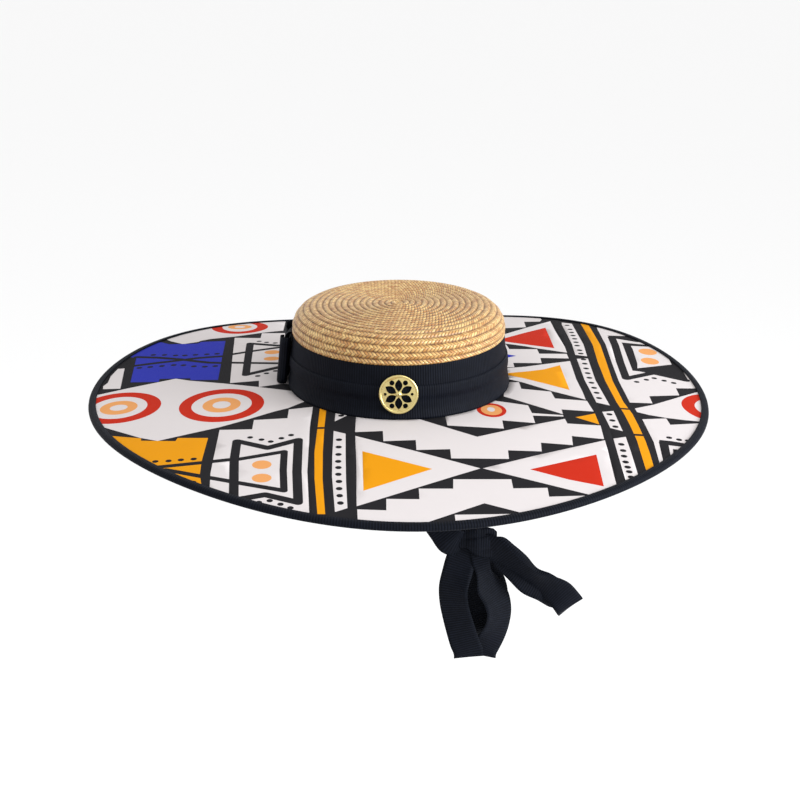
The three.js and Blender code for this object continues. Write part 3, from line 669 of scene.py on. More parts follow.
def make_brim_cloth():
    flat, faces, ink = cut_cloth()
    area = 0.5 * np.cross(flat[faces[:, 1]] - flat[faces[:, 0]], flat[faces[:, 2]] - flat[faces[:, 0]])
    faces[area < 0] = faces[area < 0][:, ::-1]
    height = brim_top(*oval_reach(flat[:, 0], flat[:, 1]))
    top = np.column_stack([flat, height])
    count = len(top)
    sides = {}
    for a, b, c in faces:
        for edge in ((a, b), (b, c), (c, a)):
            sides[edge] = True
    rims = [(a, b) for a, b in sides if (b, a) not in sides]
    walls = [(a, a + count, b + count, b) for a, b in rims]
    points = np.vstack([top, top - (0, 0, CLOTH)])
    all_faces = [tuple(f) for f in faces] + [tuple(f[::-1] + count) for f in faces] + walls
    inks = np.concatenate([ink, ink, np.full(len(walls), INK_NUMBER["black"])])
    piece = mesh_piece("brim_printed_cloth", points, all_faces, COTTONS, inks=inks)
    square_metres = float(np.abs(area).sum() * MM ** 2)
    print("cloth area", round(square_metres, 4), "square metres")
    return dress(piece, "printed_cloth", "brim"), square_metres


brim_cloth, cloth_area = make_brim_cloth()

# %% [markdown]
# Under the print is the brim's body: cloth made stiff with size, plain navy on its underside, with
# the raised threads of its weave painted up to half again as light, a painted highlight. It is a
# closed ring that follows the waves a finger's breadth at a time.

# %% Body of the brim
UNDERSIDE = "#14161F"
UNDERSIDE_LIT = 1.5
BODY_ROWS = 20


def plain_cotton():
    cloth, tree, shader = new_finish("navy_cotton", Roughness=0.9, Specular_IOR_Level=0.2)
    place = add_node(tree, "ShaderNodeTexCoord").outputs["Object"]
    normal, height = woven_bump(tree, place, WEAVE, WEAVE_DEPTH)
    full = linear(UNDERSIDE)
    # Painted highlight: the raised threads of the weave are mixed towards a copy of the navy half again
    # as light.
    shade = reckon(tree, "MULTIPLY_ADD", height, 0.5, 0.5)
    lit = scaled(full, UNDERSIDE_LIT)
    tree.links.new(mix_colours(tree, shade, full, lit), shader.inputs["Base Color"])
    tree.links.new(normal, shader.inputs["Normal"])
    return cloth


def ring_piece(name, section, finish, spokes, slot, *nodes):
    """A closed ring round the hat. section(angle) gives the reaches and heights of its outline."""
    angles = np.arange(spokes) * 2 * math.pi / spokes
    grid = np.stack([oval(*section(a)[:1], a, section(a)[1]) for a in angles])
    step = np.linalg.norm(np.diff(grid[:, 0], axis=0, append=grid[:1, 0]), axis=1)
    along = np.concatenate([[0], np.cumsum(step)])
    around = np.linalg.norm(np.diff(grid[0], axis=0, append=grid[0, :1]), axis=1)
    across = np.concatenate([[0], np.cumsum(around)])
    piece = grid_piece(name, grid, [finish], along, across, rows_close=True, columns_close=True)
    return dress(piece, slot, *nodes)


def make_brim_body():
    reaches = np.linspace(BRIM_START, CLOTH_EDGE, BODY_ROWS)

    def section(angle):
        top = brim_top(reaches, angle)
        return (np.concatenate([reaches, reaches[::-1]]),
                np.concatenate([top - CLOTH, top[::-1] - BRIM_THICK]))

    return ring_piece("brim_stiffened_body", section, plain_cotton(), SPOKES, "printed_cloth", "brim")


make_brim_body()

# %% [markdown]
# All the ribbons are grosgrain: thick weft threads lie straight across the ribbon and stand up as
# ribs under a thin warp. The backs of the ribs are painted up to four times lighter in patches, a
# painted highlight, and the grooves keep the ribbon's near black colour. The ribbon itself has
# hardly any gloss. Real ribs lie about 1 mm apart, too fine for the picture, so they are drawn at
# 2 mm. They are drawn from the place along the ribbon, so they turn with every bend.

# %% Grosgrain
RIB = 2.0
RIB_DEPTH = 0.25
RIB_LIT = 4.0
PATCHES_PER_MM = 0.16
NIGHT = "#07090F"
SHEEN = "#B8C0D8"
RIBBON_SPOKES = 260


def grosgrain(name, hex_code):
    silk, tree, shader = new_finish(name, Roughness=0.6, Specular_IOR_Level=0.06,
                                    Sheen_Weight=0.015, Sheen_Roughness=0.4,
                                    Sheen_Tint=linear(SHEEN))
    place = add_node(tree, "ShaderNodeUVMap", {"uv_map": "thread"}).outputs[0]
    split = add_node(tree, "ShaderNodeSeparateXYZ", inputs={0: place})
    wave = reckon(tree, "SINE", reckon(tree, "MULTIPLY", split.outputs[0], 2 * math.pi / RIB))
    ribs = reckon(tree, "MULTIPLY_ADD", wave, 0.5, 0.5)
    patchy = add_node(tree, "ShaderNodeTexNoise", inputs={
        "Vector": place, "Scale": PATCHES_PER_MM, "Detail": 3.0})
    # Painted highlight: where the ribs stand up, in patches, the colour is mixed towards a copy four
    # times lighter.
    shade = reckon(tree, "MULTIPLY", ribs, patchy.outputs[0])
    full = linear(hex_code)
    tree.links.new(mix_colours(tree, shade, full, scaled(full, RIB_LIT)), shader.inputs["Base Color"])
    bump = add_node(tree, "ShaderNodeBump", inputs={
        "Height": ribs, "Strength": 0.7, "Distance": RIB_DEPTH * MM})
    tree.links.new(bump.outputs[0], shader.inputs["Normal"])
    return silk


RIBBON_SILK = grosgrain("black_grosgrain", NIGHT)
print("rib", RIB, "mm")

# %% [markdown]
# A narrow ribbon is folded over the brim's edge and sewn through, so the edge cannot fray. Its
# section is a flat hook. The fold is rounded here, as a folded ribbon is.

# %% Binding on the brim's edge
BINDING_SEEN = 6.0
EDGE_SOFT = 0.5
FOLD_STEPS = 9


def make_binding():
    inner, fold = BRIM_EDGE - BINDING_SEEN, BRIM_EDGE - BRIM_THICK
    turns = np.linspace(math.pi / 2, -math.pi / 2, FOLD_STEPS)
    over = GAP + RIBBON
    middle = -BRIM_THICK / 2
    outer_half, inner_half = BRIM_THICK / 2 + over, BRIM_THICK / 2 + GAP
    round_reach = fold + (BRIM_EDGE - fold) * np.cos(turns)
    round_rise = middle + outer_half * np.sin(turns)
    back_reach = fold + (BRIM_EDGE - fold - RIBBON) * np.cos(turns[::-1])
    back_rise = middle + inner_half * np.sin(turns[::-1])
    soft = inner + EDGE_SOFT
    reaches = np.concatenate([[inner, soft], round_reach, [soft, inner, inner], back_reach, [inner]])
    rises = np.concatenate([[over - RIBBON / 2, over], round_rise,
                            [middle - outer_half, middle - outer_half + RIBBON / 2, middle - inner_half],
                            back_rise, [middle + inner_half]])

    def section(angle):
        return reaches, brim_top(reaches, angle) + rises

    return ring_piece("brim_edge_binding", section, RIBBON_SILK, RIBBON_SPOKES, "ribbon", "brim_binding")


make_binding()

# %% [markdown]
# Two ribbons go round the crown, and the lower one laps over the upper one. A hat maker pulls them
# tight with a little steam, so they follow the crown's lean. No ribbon runs quite level, so both
# waver by a tenth of a millimetre or two, and in front the lower one's foot flares where it meets
# the brim. The rows give the height of a line round the ribbon and how far it stands off the straw.

# %% Hat bands
BAND_HEIGHT = 42.0
RIBBON_WIDTH = 25.0
BAND_FOOT = BRIM_THICK + GAP
BAND_TOP = BAND_FOOT + BAND_HEIGHT
OVERLAP = GAP + RIBBON + GAP
BAND_FACE = OVERLAP + RIBBON
FOOT_FLARE = 3.0
FLARE_HEIGHT = 8.0
FOOT_TUCK = 0.4
THIN_EDGE = 0.45
EDGE_WIDTH = 1.5
SLOW_WAVER, QUICK_WAVER = 0.12, 0.1
BAND_ROWS = 15


def make_band(name, node, rows):
    heights = np.array([z for z, _ in rows])
    offs = np.array([off for _, off in rows])
    fine = np.linspace(heights[0], heights[-1], BAND_ROWS)
    off = np.interp(fine, heights, offs)
    from_edge = np.minimum(fine - fine[0], fine[-1] - fine)
    thick = RIBBON * np.minimum(1.0, THIN_EDGE + from_edge / EDGE_WIDTH)

    def section(angle):
        waver = SLOW_WAVER * math.sin(5 * angle + heights[0]) + QUICK_WAVER * math.sin(11 * angle)
        in_front = ((1 - math.sin(angle)) / 2) ** 2
        at_foot = np.clip((BAND_FOOT + FLARE_HEIGHT - fine) / FLARE_HEIGHT, 0, 1) ** 2
        reach = wall_reach(fine) + off + FOOT_FLARE * in_front * at_foot
        return (np.concatenate([reach + thick, reach[::-1]]),
                np.concatenate([fine, fine[::-1]]) + waver)

    return ring_piece(name, section, RIBBON_SILK, RIBBON_SPOKES, "ribbon", node)


upper_foot = BAND_TOP - RIBBON_WIDTH
band_upper = make_band("hat_band_upper_ribbon", "hat_band_upper",
                       [(upper_foot, GAP), (BAND_TOP, GAP)])
band_lower = make_band("hat_band_lower_ribbon", "hat_band_lower",
                       [(BAND_FOOT - FOOT_TUCK, GAP), (upper_foot - 2 * OVERLAP, GAP),
                        (upper_foot - GAP, OVERLAP), (BAND_FOOT + RIBBON_WIDTH, OVERLAP)])

# %% [markdown]
# The crown is a flat plait of wheat straw, about 5 mm wide, sewn to itself in one long spiral from
# the middle of the top. Each turn laps the one before, so it stands as a low ridge with a dark
# groove beside it. The ridge is a height on a fine grid: how far a point has gone up the crown,
# with its share of a turn round it, says how far across the plait it lies. Over the shoulder the
# plait is bent and swells, so the straw stands a little proud there. Where the bands cover the
# wall, and in the middle of the top, the ridge is left almost flat.

# %% Straw crown
SHOULDER_HEIGHT = CROWN_HEIGHT - TOP_RISE - SHOULDER_RADIUS
WALL_TOP = SHOULDER_HEIGHT + SHOULDER_RADIUS * math.sin(WALL_LEAN)
SHOULDER_REACH = wall_reach(WALL_TOP) - SHOULDER_RADIUS * math.cos(WALL_LEAN)
SHOULDER_LENGTH = SHOULDER_RADIUS * (math.pi / 2 - WALL_LEAN)
OUTLINE = SHOULDER_LENGTH + SHOULDER_REACH
WALL_LENGTH = WALL_TOP / math.cos(WALL_LEAN)
PLAIT_TURNS = 19
PLAIT = OUTLINE / PLAIT_TURNS
PLAIT_RISE = 1.25
COVERED_RISE = 0.12
INNER_RISE = 0.3
RIDGE_SKEW, RIDGE_FULLNESS = 0.8, 0.6
COVERED_TO, RIDGE_FROM, SEEN_FROM = -2.2, -1.5, -1.6
MIDDLE_FLAT = 4.0
MIDDLE_DIP = 0.25
SHOULDER_PROUD = 2.6
PROUD_BELOW = 5.0
PROUD_SHARE, PROUD_SHAPE = 0.9, 1.5
TURNS_BELOW = 40
CROWN_SPOKES = 400
WALL_ROWS, SEEN_ROWS, INNER_ROWS = 10, 162, 40


def crown_outline(travel, lift):
    """Reach and height at some travel up from the shoulder's start; below it, on the wall."""
    down = np.minimum(travel, 0.0)
    bend = WALL_LEAN + np.clip(travel, 0.0, SHOULDER_LENGTH) / SHOULDER_RADIUS
    reach = SHOULDER_REACH + (SHOULDER_RADIUS + lift) * np.cos(bend) - down * math.sin(WALL_LEAN)
    height = SHOULDER_HEIGHT + (SHOULDER_RADIUS + lift) * np.sin(bend) + down * math.cos(WALL_LEAN)
    on_top = travel > SHOULDER_LENGTH
    top_reach = np.maximum(SHOULDER_REACH - np.maximum(travel - SHOULDER_LENGTH, 0.0), 0.0)
    rise = TOP_RISE * (1 - (top_reach / SHOULDER_REACH) ** 2)
    top_height = SHOULDER_HEIGHT + SHOULDER_RADIUS + rise + lift
    return np.where(on_top, top_reach, reach), np.where(on_top, top_height, height)


def ridge(turn, rise):
    """Height of the plait across itself: a quick rise from the groove and a long soft fall."""
    share = turn % 1.0
    return rise * np.sin(math.pi * share ** RIDGE_SKEW) ** RIDGE_FULLNESS


def make_crown(finish):
    wall = np.linspace(-WALL_LENGTH, COVERED_TO, WALL_ROWS)
    seen = np.linspace(SEEN_FROM, OUTLINE, SEEN_ROWS)
    within = np.linspace(OUTLINE, -WALL_LENGTH, INNER_ROWS)
    travel = np.concatenate([wall, seen, within])[None, :]
    outside = (np.arange(travel.size) < wall.size + seen.size)[None, :]
    angle = np.arange(CROWN_SPOKES + 1)[:, None] * 2 * math.pi / CROWN_SPOKES
    turn = travel / PLAIT + angle / (2 * math.pi) + TURNS_BELOW
    off_middle = np.clip((OUTLINE - travel) / MIDDLE_FLAT, 0.0, 1.0)
    rise = np.where(travel > RIDGE_FROM, PLAIT_RISE, COVERED_RISE) * off_middle
    lift = np.where(outside, ridge(turn, rise), -STRAW + ridge(turn, -INNER_RISE * off_middle))
    lift = np.where(outside, lift - MIDDLE_DIP * (1 - off_middle), lift)
    over_shoulder = (travel + PROUD_BELOW) / (PROUD_SHARE * SHOULDER_LENGTH + PROUD_BELOW)
    proud = np.sin(math.pi * np.clip(over_shoulder, 0.0, 1.0)) ** PROUD_SHAPE
    lift = lift + np.where(outside, SHOULDER_PROUD * proud, 0.0)
    reach, height = crown_outline(travel, lift)
    grid = oval(reach, angle + math.pi / 2, height)[:CROWN_SPOKES]
    columns = travel.size
    faces, thread = [], []
    for i in range(CROWN_SPOKES):
        for j in range(columns):
            j2, i2 = (j + 1) % columns, (i + 1) % CROWN_SPOKES
            faces.append((i * columns + j, i2 * columns + j, i2 * columns + j2, i * columns + j2))
            number = math.floor((turn[i, j] + turn[i + 1, j2]) / 2)
            middle = (number + 0.5 - TURNS_BELOW - i / CROWN_SPOKES) * PLAIT
            round_it = float(crown_outline(np.array(middle), 0.0)[0])
            a, b = angle[i, 0] * round_it, angle[i + 1, 0] * round_it
            thread += [(a, turn[i, j]), (b, turn[i + 1, j]), (b, turn[i + 1, j2]), (a, turn[i, j2])]
    piece = mesh_piece("crown_straw_plait", grid.reshape(-1, 3), faces, [finish], thread)
    join_points(piece)
    face_outward(piece)
    return dress(piece, "straw", "crown")


def join_points(piece, closer_than=0.002):
    work = bmesh.new()
    work.from_mesh(piece.data)
    bmesh.ops.remove_doubles(work, verts=work.verts, dist=closer_than * MM)
    work.to_mesh(piece.data)
    work.free()

# %% [markdown]
# Wheat straw is golden, with a thin natural glaze: satin, and shinier where a stem lies flat. In a
# plait the stems lie aslant, one way in its left half and the other way in its right half. Each
# stem shows as a short oval about 3 mm long. Every oval has its own tint, since no two stems ripen
# alike, and broad patches of about 36 mm ripen together. Painted shade darkens the space between
# stems, and the groove in patches of about 6 mm, so the spiral doesn't read as drawn lines.

# %% Straw finish
STEM = 3.0
STEM_SLANT = 1.5
STEM_RISE = 0.8
STEM_ROUND, PLAIT_ROUND = 0.6, 0.5
BROAD_PER_METRE = 28.0
GROOVE_PER_METRE = 170.0
OWN_TINT, BROAD_TINT = 0.75, 0.3
BETWEEN_SHARP, BETWEEN_SHADE = 2.5, 0.9
GROOVE_SHARP, GROOVE_SHADE = 2.0, 0.95
GROOVE_PATCHY, GROOVE_LESS = 2.2, -0.35
ROUGH, SMOOTHER_ON_STEM = 0.62, -0.36
STRAW_GOLD = "#A96A22"
STRAW_PALE = "#E6C27C"
STRAW_SHADE_BROWN = "#5A3410"


def straw_finish():
    straw, tree, shader = new_finish("wheat_straw", Specular_IOR_Level=0.85)
    place = add_node(tree, "ShaderNodeUVMap", {"uv_map": "thread"}).outputs[0]
    split = add_node(tree, "ShaderNodeSeparateXYZ", inputs={0: place})
    across = reckon(tree, "FRACT", split.outputs[1])
    number = reckon(tree, "FLOOR", split.outputs[1])
    from_middle = reckon(tree, "ABSOLUTE", reckon(tree, "SUBTRACT", across, 0.5))
    slant = reckon(tree, "MULTIPLY", from_middle, STEM_SLANT)
    stems = reckon(tree, "ADD", reckon(tree, "DIVIDE", split.outputs[0], STEM), slant)
    side = reckon(tree, "MULTIPLY", reckon(tree, "GREATER_THAN", across, 0.5), 0.5)
    stems = reckon(tree, "ADD", stems, side)
    along = reckon(tree, "FRACT", stems)
    bow = reckon(tree, "SINE", reckon(tree, "MULTIPLY", along, math.pi))
    hump = reckon(tree, "SINE", reckon(tree, "MULTIPLY", across, math.pi))
    stem_height = reckon(tree, "MULTIPLY", reckon(tree, "POWER", bow, STEM_ROUND),
                         reckon(tree, "POWER", hump, PLAIT_ROUND))
    which = add_node(tree, "ShaderNodeCombineXYZ", inputs={
        0: reckon(tree, "FLOOR", stems), 1: number, 2: side})
    tint = add_node(tree, "ShaderNodeTexWhiteNoise", {"noise_dimensions": "3D"},
                    {"Vector": which.outputs[0]})
    ground = add_node(tree, "ShaderNodeTexCoord").outputs["Object"]
    broad = add_node(tree, "ShaderNodeTexNoise", inputs={
        "Vector": ground, "Scale": BROAD_PER_METRE, "Detail": 2.0})
    ripe = reckon(tree, "MULTIPLY_ADD", tint.outputs["Value"], OWN_TINT,
                  reckon(tree, "MULTIPLY", broad.outputs[0], BROAD_TINT))
    stem_colour = mix_colours(tree, ripe, linear(STRAW_GOLD), linear(STRAW_PALE))
    # Painted shade: the colour is mixed towards dark brown between the stems and, in patches, in the
    # plait's groove.
    between = reckon(tree, "POWER", reckon(tree, "SUBTRACT", 1.0, bow), BETWEEN_SHARP)
    groove = reckon(tree, "POWER", reckon(tree, "SUBTRACT", 1.0, hump), GROOVE_SHARP)
    patch = add_node(tree, "ShaderNodeTexNoise", inputs={
        "Vector": ground, "Scale": GROOVE_PER_METRE, "Detail": 3.0})
    deep = reckon(tree, "MULTIPLY_ADD", patch.outputs[0], GROOVE_PATCHY, GROOVE_LESS)
    groove = reckon(tree, "MULTIPLY", groove, deep)
    dark = reckon(tree, "ADD", reckon(tree, "MULTIPLY", between, BETWEEN_SHADE),
                  reckon(tree, "MULTIPLY", groove, GROOVE_SHADE))
    dark.node.use_clamp = True
    colour = mix_colours(tree, dark, stem_colour, linear(STRAW_SHADE_BROWN))
    tree.links.new(colour, shader.inputs["Base Color"])
    dull = reckon(tree, "MULTIPLY_ADD", stem_height, SMOOTHER_ON_STEM, ROUGH)
    tree.links.new(dull, shader.inputs["Roughness"])
    bump = add_node(tree, "ShaderNodeBump", inputs={
        "Height": stem_height, "Strength": 1.0, "Distance": STEM_RISE * MM})
    tree.links.new(bump.outputs[0], shader.inputs["Normal"])
    return straw


make_crown(straw_finish())

# %% [markdown]
# A ribbon that hangs free is a strip swept along a curve. The curve passes through a few measured
# bends, and a second curve carries one rim, so the strip can turn as it goes. Curves of this kind
# shape the frame's solids too. The section is a little cupped, and its edges are thinner.

# %% Ribbon strip
RIBBON_SILK_THICK = 0.7
CUP = 0.5
CUP_LEVEL = 0.35
EDGE_THINNER, EDGE_SHARP = 0.45, 6
LEAST_GAP = 0.001
ACROSS = 9
STEPS = 7
Bend = namedtuple("Bend", "middle across width")


def through(points, share):
    """A point of a smooth curve through all the points, at a share of their count."""
    last = len(points) - 1
    number = min(int(share * last), last - 1)
    part = share * last - number
    p1, p2 = points[number], points[number + 1]
    p0 = points[number - 1] if number > 0 else 2 * p1 - p2
    p3 = points[number + 2] if number + 2 <= last else 2 * p2 - p1
    gaps = [np.linalg.norm(b - a) ** 0.5 for a, b in ((p0, p1), (p1, p2), (p2, p3))]
    before, between, after = (max(g, LEAST_GAP) for g in gaps)
    leave = ((p1 - p0) / before - (p2 - p0) / (before + between) + (p2 - p1) / between) * between
    arrive = ((p2 - p1) / between - (p3 - p1) / (between + after) + (p3 - p2) / after) * between
    square = -3 * p1 + 3 * p2 - 2 * leave - arrive
    cube = 2 * p1 - 2 * p2 + leave + arrive
    return p1 + leave * part + square * part ** 2 + cube * part ** 3


def ribbon_strip(name, bends, node, cup=CUP):
    middles = [b.middle for b in bends]
    rims = [b.middle + b.across * b.width / 2 for b in bends]
    count = (len(bends) - 1) * STEPS
    centre = np.array([through(middles, i / count) for i in range(count + 1)])
    half = np.array([through(rims, i / count) for i in range(count + 1)]) - centre
    tangent = np.gradient(centre, axis=0)
    face = np.cross(tangent, half)
    face /= np.linalg.norm(face, axis=1)[:, None]
    share = np.linspace(-1, 1, ACROSS)
    bowed = cup * (share ** 2 - CUP_LEVEL)
    thick = RIBBON_SILK_THICK / 2 * (1 - EDGE_THINNER * share ** EDGE_SHARP)
    upper = centre[:, None] - half[:, None] * share[:, None] + face[:, None] * (bowed + thick)[:, None]
    lower = centre[:, None] - half[:, None] * share[:, None] + face[:, None] * (bowed - thick)[:, None]
    grid = np.concatenate([upper, lower[:, ::-1]], axis=1)
    along = np.concatenate([[0], np.cumsum(np.linalg.norm(np.diff(centre, axis=0), axis=1))])
    place = np.concatenate([share, share[::-1], share[:1]]) * RIBBON_WIDTH / 2
    piece = grid_piece(name, grid, [RIBBON_SILK], along, place, columns_close=True, capped=True)
    dress(piece, "ribbon", node)
    return piece


def across_ribbon(points, number, turn):
    """Which way the ribbon's width runs, turned by some degrees from lying front to back."""
    before, after = points[max(0, number - 1)], points[min(len(points) - 1, number + 1)]
    tangent = (after - before) / np.linalg.norm(after - before)
    level = np.array([tangent[0], 0.0, tangent[2]])
    edgeways = np.cross(level / np.linalg.norm(level), (0.0, 1.0, 0.0))
    angle = math.radians(turn)
    across = np.array([0.0, 1.0, 0.0]) * math.cos(angle) + edgeways * math.sin(angle)
    across = across - tangent * np.dot(across, tangent)
    return across / np.linalg.norm(across)

# %% [markdown]
# The chin ribbon goes from inside the crown down to a knot in front of the cheek. Its two sides
# turn from lying flat along the head to facing forward. The rows below give its bends as shares of
# the way to the knot, then how far it is turned, and how wide it lies.

# %% Chin straps
KNOT_MIDDLE = np.array([66.0, -30.0, -131.0])
KNOT_SIZE = np.array([24.0, 13.0, 30.0])
KNOT_NARROW = 0.76
KNOT_WAIST = KNOT_SIZE[2] / 2 * KNOT_NARROW + GAP
KNOT_TIP = KNOT_MIDDLE - (KNOT_SIZE[0] / 2 + 2 * GAP, 0, 0)
KNOT_FAN = KNOT_MIDDLE + (KNOT_SIZE[0] / 2 + GAP, 0, 0)
KNOT_TOP = KNOT_MIDDLE + (0, 0, KNOT_WAIST)
KNOT_FOOT = KNOT_MIDDLE - (0, 0, KNOT_WAIST)
SEAT_HEIGHTS = (16, 8, 0)
STRAP_CUP = 0.3
STRAP_LEFT = (
    (0.109, 0.04, 0.11, 8, 1), (0.327, 0.2, 0.33, 24, 1), (0.577, 0.45, 0.56, 52, 1),
    (0.785, 0.75, 0.78, 80, 1), (0.875, 1, 0.9, 90, 1), (0.922, 1.12, 0.965, 90, 1),
    (0.958, 1.08, 0.985, 90, 0.98), (0.992, 1, 1, 90, 0.7),
)
STRAP_RIGHT = (
    (0.1, 0.1, 0.13, -6, 1), (0.35, 0.35, 0.395, -20, 1), (0.65, 0.6, 0.636, -45, 1),
    (0.98, 0.85, 0.834, -78, 1), (1.25, 1, 0.98, -90, 0.6),
)


def strap_bends(side, rows, end):
    sag = HALF_WIDTH * (1 - math.sqrt(1 - (RIBBON_WIDTH / 2 / HALF_LENGTH) ** 2))
    seats = [np.array([side * (wall_reach(z) - STRAW - sag - 2 * GAP - RIBBON), 0.0, z])
             for z in SEAT_HEIGHTS]
    foot = seats[-1]
    points = seats + [foot + (end - foot) * np.array(shares) for *shares, _, _ in rows]
    turns = [0] * len(seats) + [turn for *_, turn, _ in rows]
    widths = [1] * len(seats) + [wide for *_, wide in rows]
    return [Bend(p, across_ribbon(points, i, turns[i]), RIBBON_WIDTH * widths[i])
            for i, p in enumerate(points)]


print("knot", -KNOT_MIDDLE[2], "mm below the crown's foot")

# %% [markdown]
# The bow under the chin has a long loop to the right, a loop that drops, and two free ends. Their
# rows say how far each bend lies to the side, back and down from the knot, as shares of a reach,
# then how far it is turned, and how wide it lies. The ribbon is gathered where it leaves the knot.

# %% Lower bow
LOOP_REACH = 82.0
TAIL_DROP = 86.0
LONG_LOOP = (
    (-0.16, -0.03, -0.05, 88, 0.5), (-0.075, -0.045, -0.02, 96, 0.85), (0.02, -0.055, 0.05, 112, 1),
    (0.115, -0.062, 0.13, 122, 1), (0.25, -0.07, 0.242, 128, 1), (0.39, -0.07, 0.352, 127, 1),
    (0.53, -0.075, 0.41, 114, 1), (0.655, -0.08, 0.488, 96, 1), (0.745, -0.075, 0.6, 80, 1),
    (0.785, -0.052, 0.665, 76, 1),
    (0.783, -0.017, 0.68, 76, 1), (0.757, 0.006, 0.63, 80, 1), (0.645, 0.002, 0.555, 96, 1),
    (0.52, 0, 0.47, 114, 1), (0.375, 0, 0.4, 120, 1), (0.235, 0.012, 0.25, 112, 1),
    (0.11, 0.02, 0.13, 104, 0.95), (0.03, 0.03, 0.05, 98, 0.85), (-0.05, 0.03, 0.02, 92, 0.6),
)
DROP_LOOP = (
    (-0.023, 0.035, -0.012, 88, 0.45), (-0.06, 0.05, 0.16, 82, 0.95), (-0.05, 0.07, 0.34, 84, 1),
    (-0.02, 0.07, 0.54, 86, 1), (0.02, 0.07, 0.72, 88, 1), (0.056, 0.085, 0.83, 90, 1),
    (0.063, 0.125, 0.88, 90, 1), (0.066, 0.165, 0.855, 90, 1), (0.13, 0.175, 0.61, 86, 1),
    (0.155, 0.165, 0.43, 80, 1), (0.11, 0.14, 0.25, 78, 0.95), (0.03, 0.075, 0.02, 88, 0.5),
)
TAIL_LEFT = (
    (-0.1, 0.02, -0.12, 92, 1), (-0.165, -0.015, 0, 94, 1), (-0.205, -0.06, 0.13, 98, 1),
    (-0.242, -0.09, 0.285, 110, 1), (-0.236, -0.095, 0.435, 110, 1), (-0.207, -0.1, 0.57, 106, 1),
    (-0.166, -0.115, 0.72, 100, 1), (-0.128, -0.125, 0.845, 94, 1), (-0.094, -0.13, 0.93, 90, 1),
    (-0.087, -0.13, 1, 90, 1),
)
TAIL_RIGHT = (
    (-0.01, 0, -0.1, 88, 0.5), (0.023, -0.02, 0.035, 80, 0.6), (0.05, -0.035, 0.15, 60, 0.58),
    (0.09, -0.035, 0.275, 52, 0.95),
    (0.172, -0.035, 0.41, 58, 1), (0.205, -0.04, 0.555, 56, 1), (0.19, -0.045, 0.685, 58, 1),
    (0.15, -0.05, 0.79, 66, 1), (0.09, -0.057, 0.89, 78, 1), (0.05, -0.057, 0.955, 88, 1),
    (0.037, -0.057, 1.02, 90, 1),
)


def bow_bends(rows, start, reach):
    points = [start + reach * np.array([side, back, -drop]) for side, back, drop, _, _ in rows]
    bends = []
    for number, (*_, turn, wide) in enumerate(rows):
        across = across_ribbon(points, number, turn)
        if bends and np.dot(across, bends[-1].across) < 0:
            across = -across
        bends.append(Bend(points[number], across, RIBBON_WIDTH * wide))
    return bends


print("long loop reaches", round(LOOP_REACH * max(row[0] for row in LONG_LOOP), 1), "mm to the side")

# %% [markdown]
# The knot is a few wraps of ribbon pulled tight: narrow where the ribbon goes in at the left and
# fanned out at the right. Its top lies behind the rim of the brim. Deep pleats run along it from
# the pinch, and one wrap stands a little higher. Its rows give the share of its length, then how
# far it reaches up, down, and to the front and the back.

# %% Chin knot
KNOT_ROWS = (
    (-0.15, 0.86, 0.25, 0.3), (0.05, 0.95, 0.2, 0.5), (0.15, 1, 0.25, 0.8), (0.3, 1.04, 0.55, 1),
    (0.5, 1.06, 0.74, 1.05), (0.75, 1.02, 0.8, 0.9), (1, 0.93, 0.8, 0.6), (1.12, 0.75, 0.7, 0.25),
)
PLEATS = 5
PLEAT_DEPTH = 0.16
PLEAT_TWIST, PLEAT_UNEVEN = 0.9, 0.4
PLEAT_GROWS, PLEAT_AT_PINCH, PLEAT_LEAST = 3, 0.6, 0.1
WRAP_RISE, WRAP_START, WRAP_WIDE = 0.05, 0.3, 0.22
KNOT_STEPS, KNOT_ROUND = 57, 96
KNOT_GIRTH = 60


def make_knot():
    rows = np.array(KNOT_ROWS)
    along = np.linspace(rows[0, 0], rows[-1, 0], KNOT_STEPS)[:, None]
    above, below, deep = (np.interp(along, rows[:, 0], column) for column in rows[:, 1:].T)
    around = np.arange(KNOT_ROUND) * 2 * math.pi / KNOT_ROUND
    tall = np.where(np.sin(around) > 0, above, below)
    uneven = PLEAT_UNEVEN * np.sin(2 * around)
    pleat = np.abs(np.sin(PLEATS / 2 * around + PLEAT_TWIST * along + uneven))
    wrap = WRAP_RISE * np.sin(math.pi * np.clip((along - WRAP_START) / WRAP_WIDE, 0, 1))
    grown = np.clip(PLEAT_GROWS * along + PLEAT_AT_PINCH, PLEAT_LEAST, 1)
    puff = 1 - PLEAT_DEPTH * (1 - pleat) ** 2 * grown + wrap
    x = KNOT_MIDDLE[0] + KNOT_SIZE[0] * (along - 0.5) + 0 * around
    y = KNOT_MIDDLE[1] + KNOT_SIZE[1] / 2 * deep * np.cos(around) * puff
    z = KNOT_MIDDLE[2] + KNOT_SIZE[2] / 2 * tall * np.sin(around) * puff
    grid = np.stack([x, y, z], -1)
    place = np.arange(KNOT_ROUND + 1) * KNOT_GIRTH / KNOT_ROUND
    piece = grid_piece("chin_knot_wraps", grid, [RIBBON_SILK], along[:, 0] * KNOT_SIZE[0], place,
                       columns_close=True, capped=True)
    return dress(piece, "ribbon", "chin_knot")


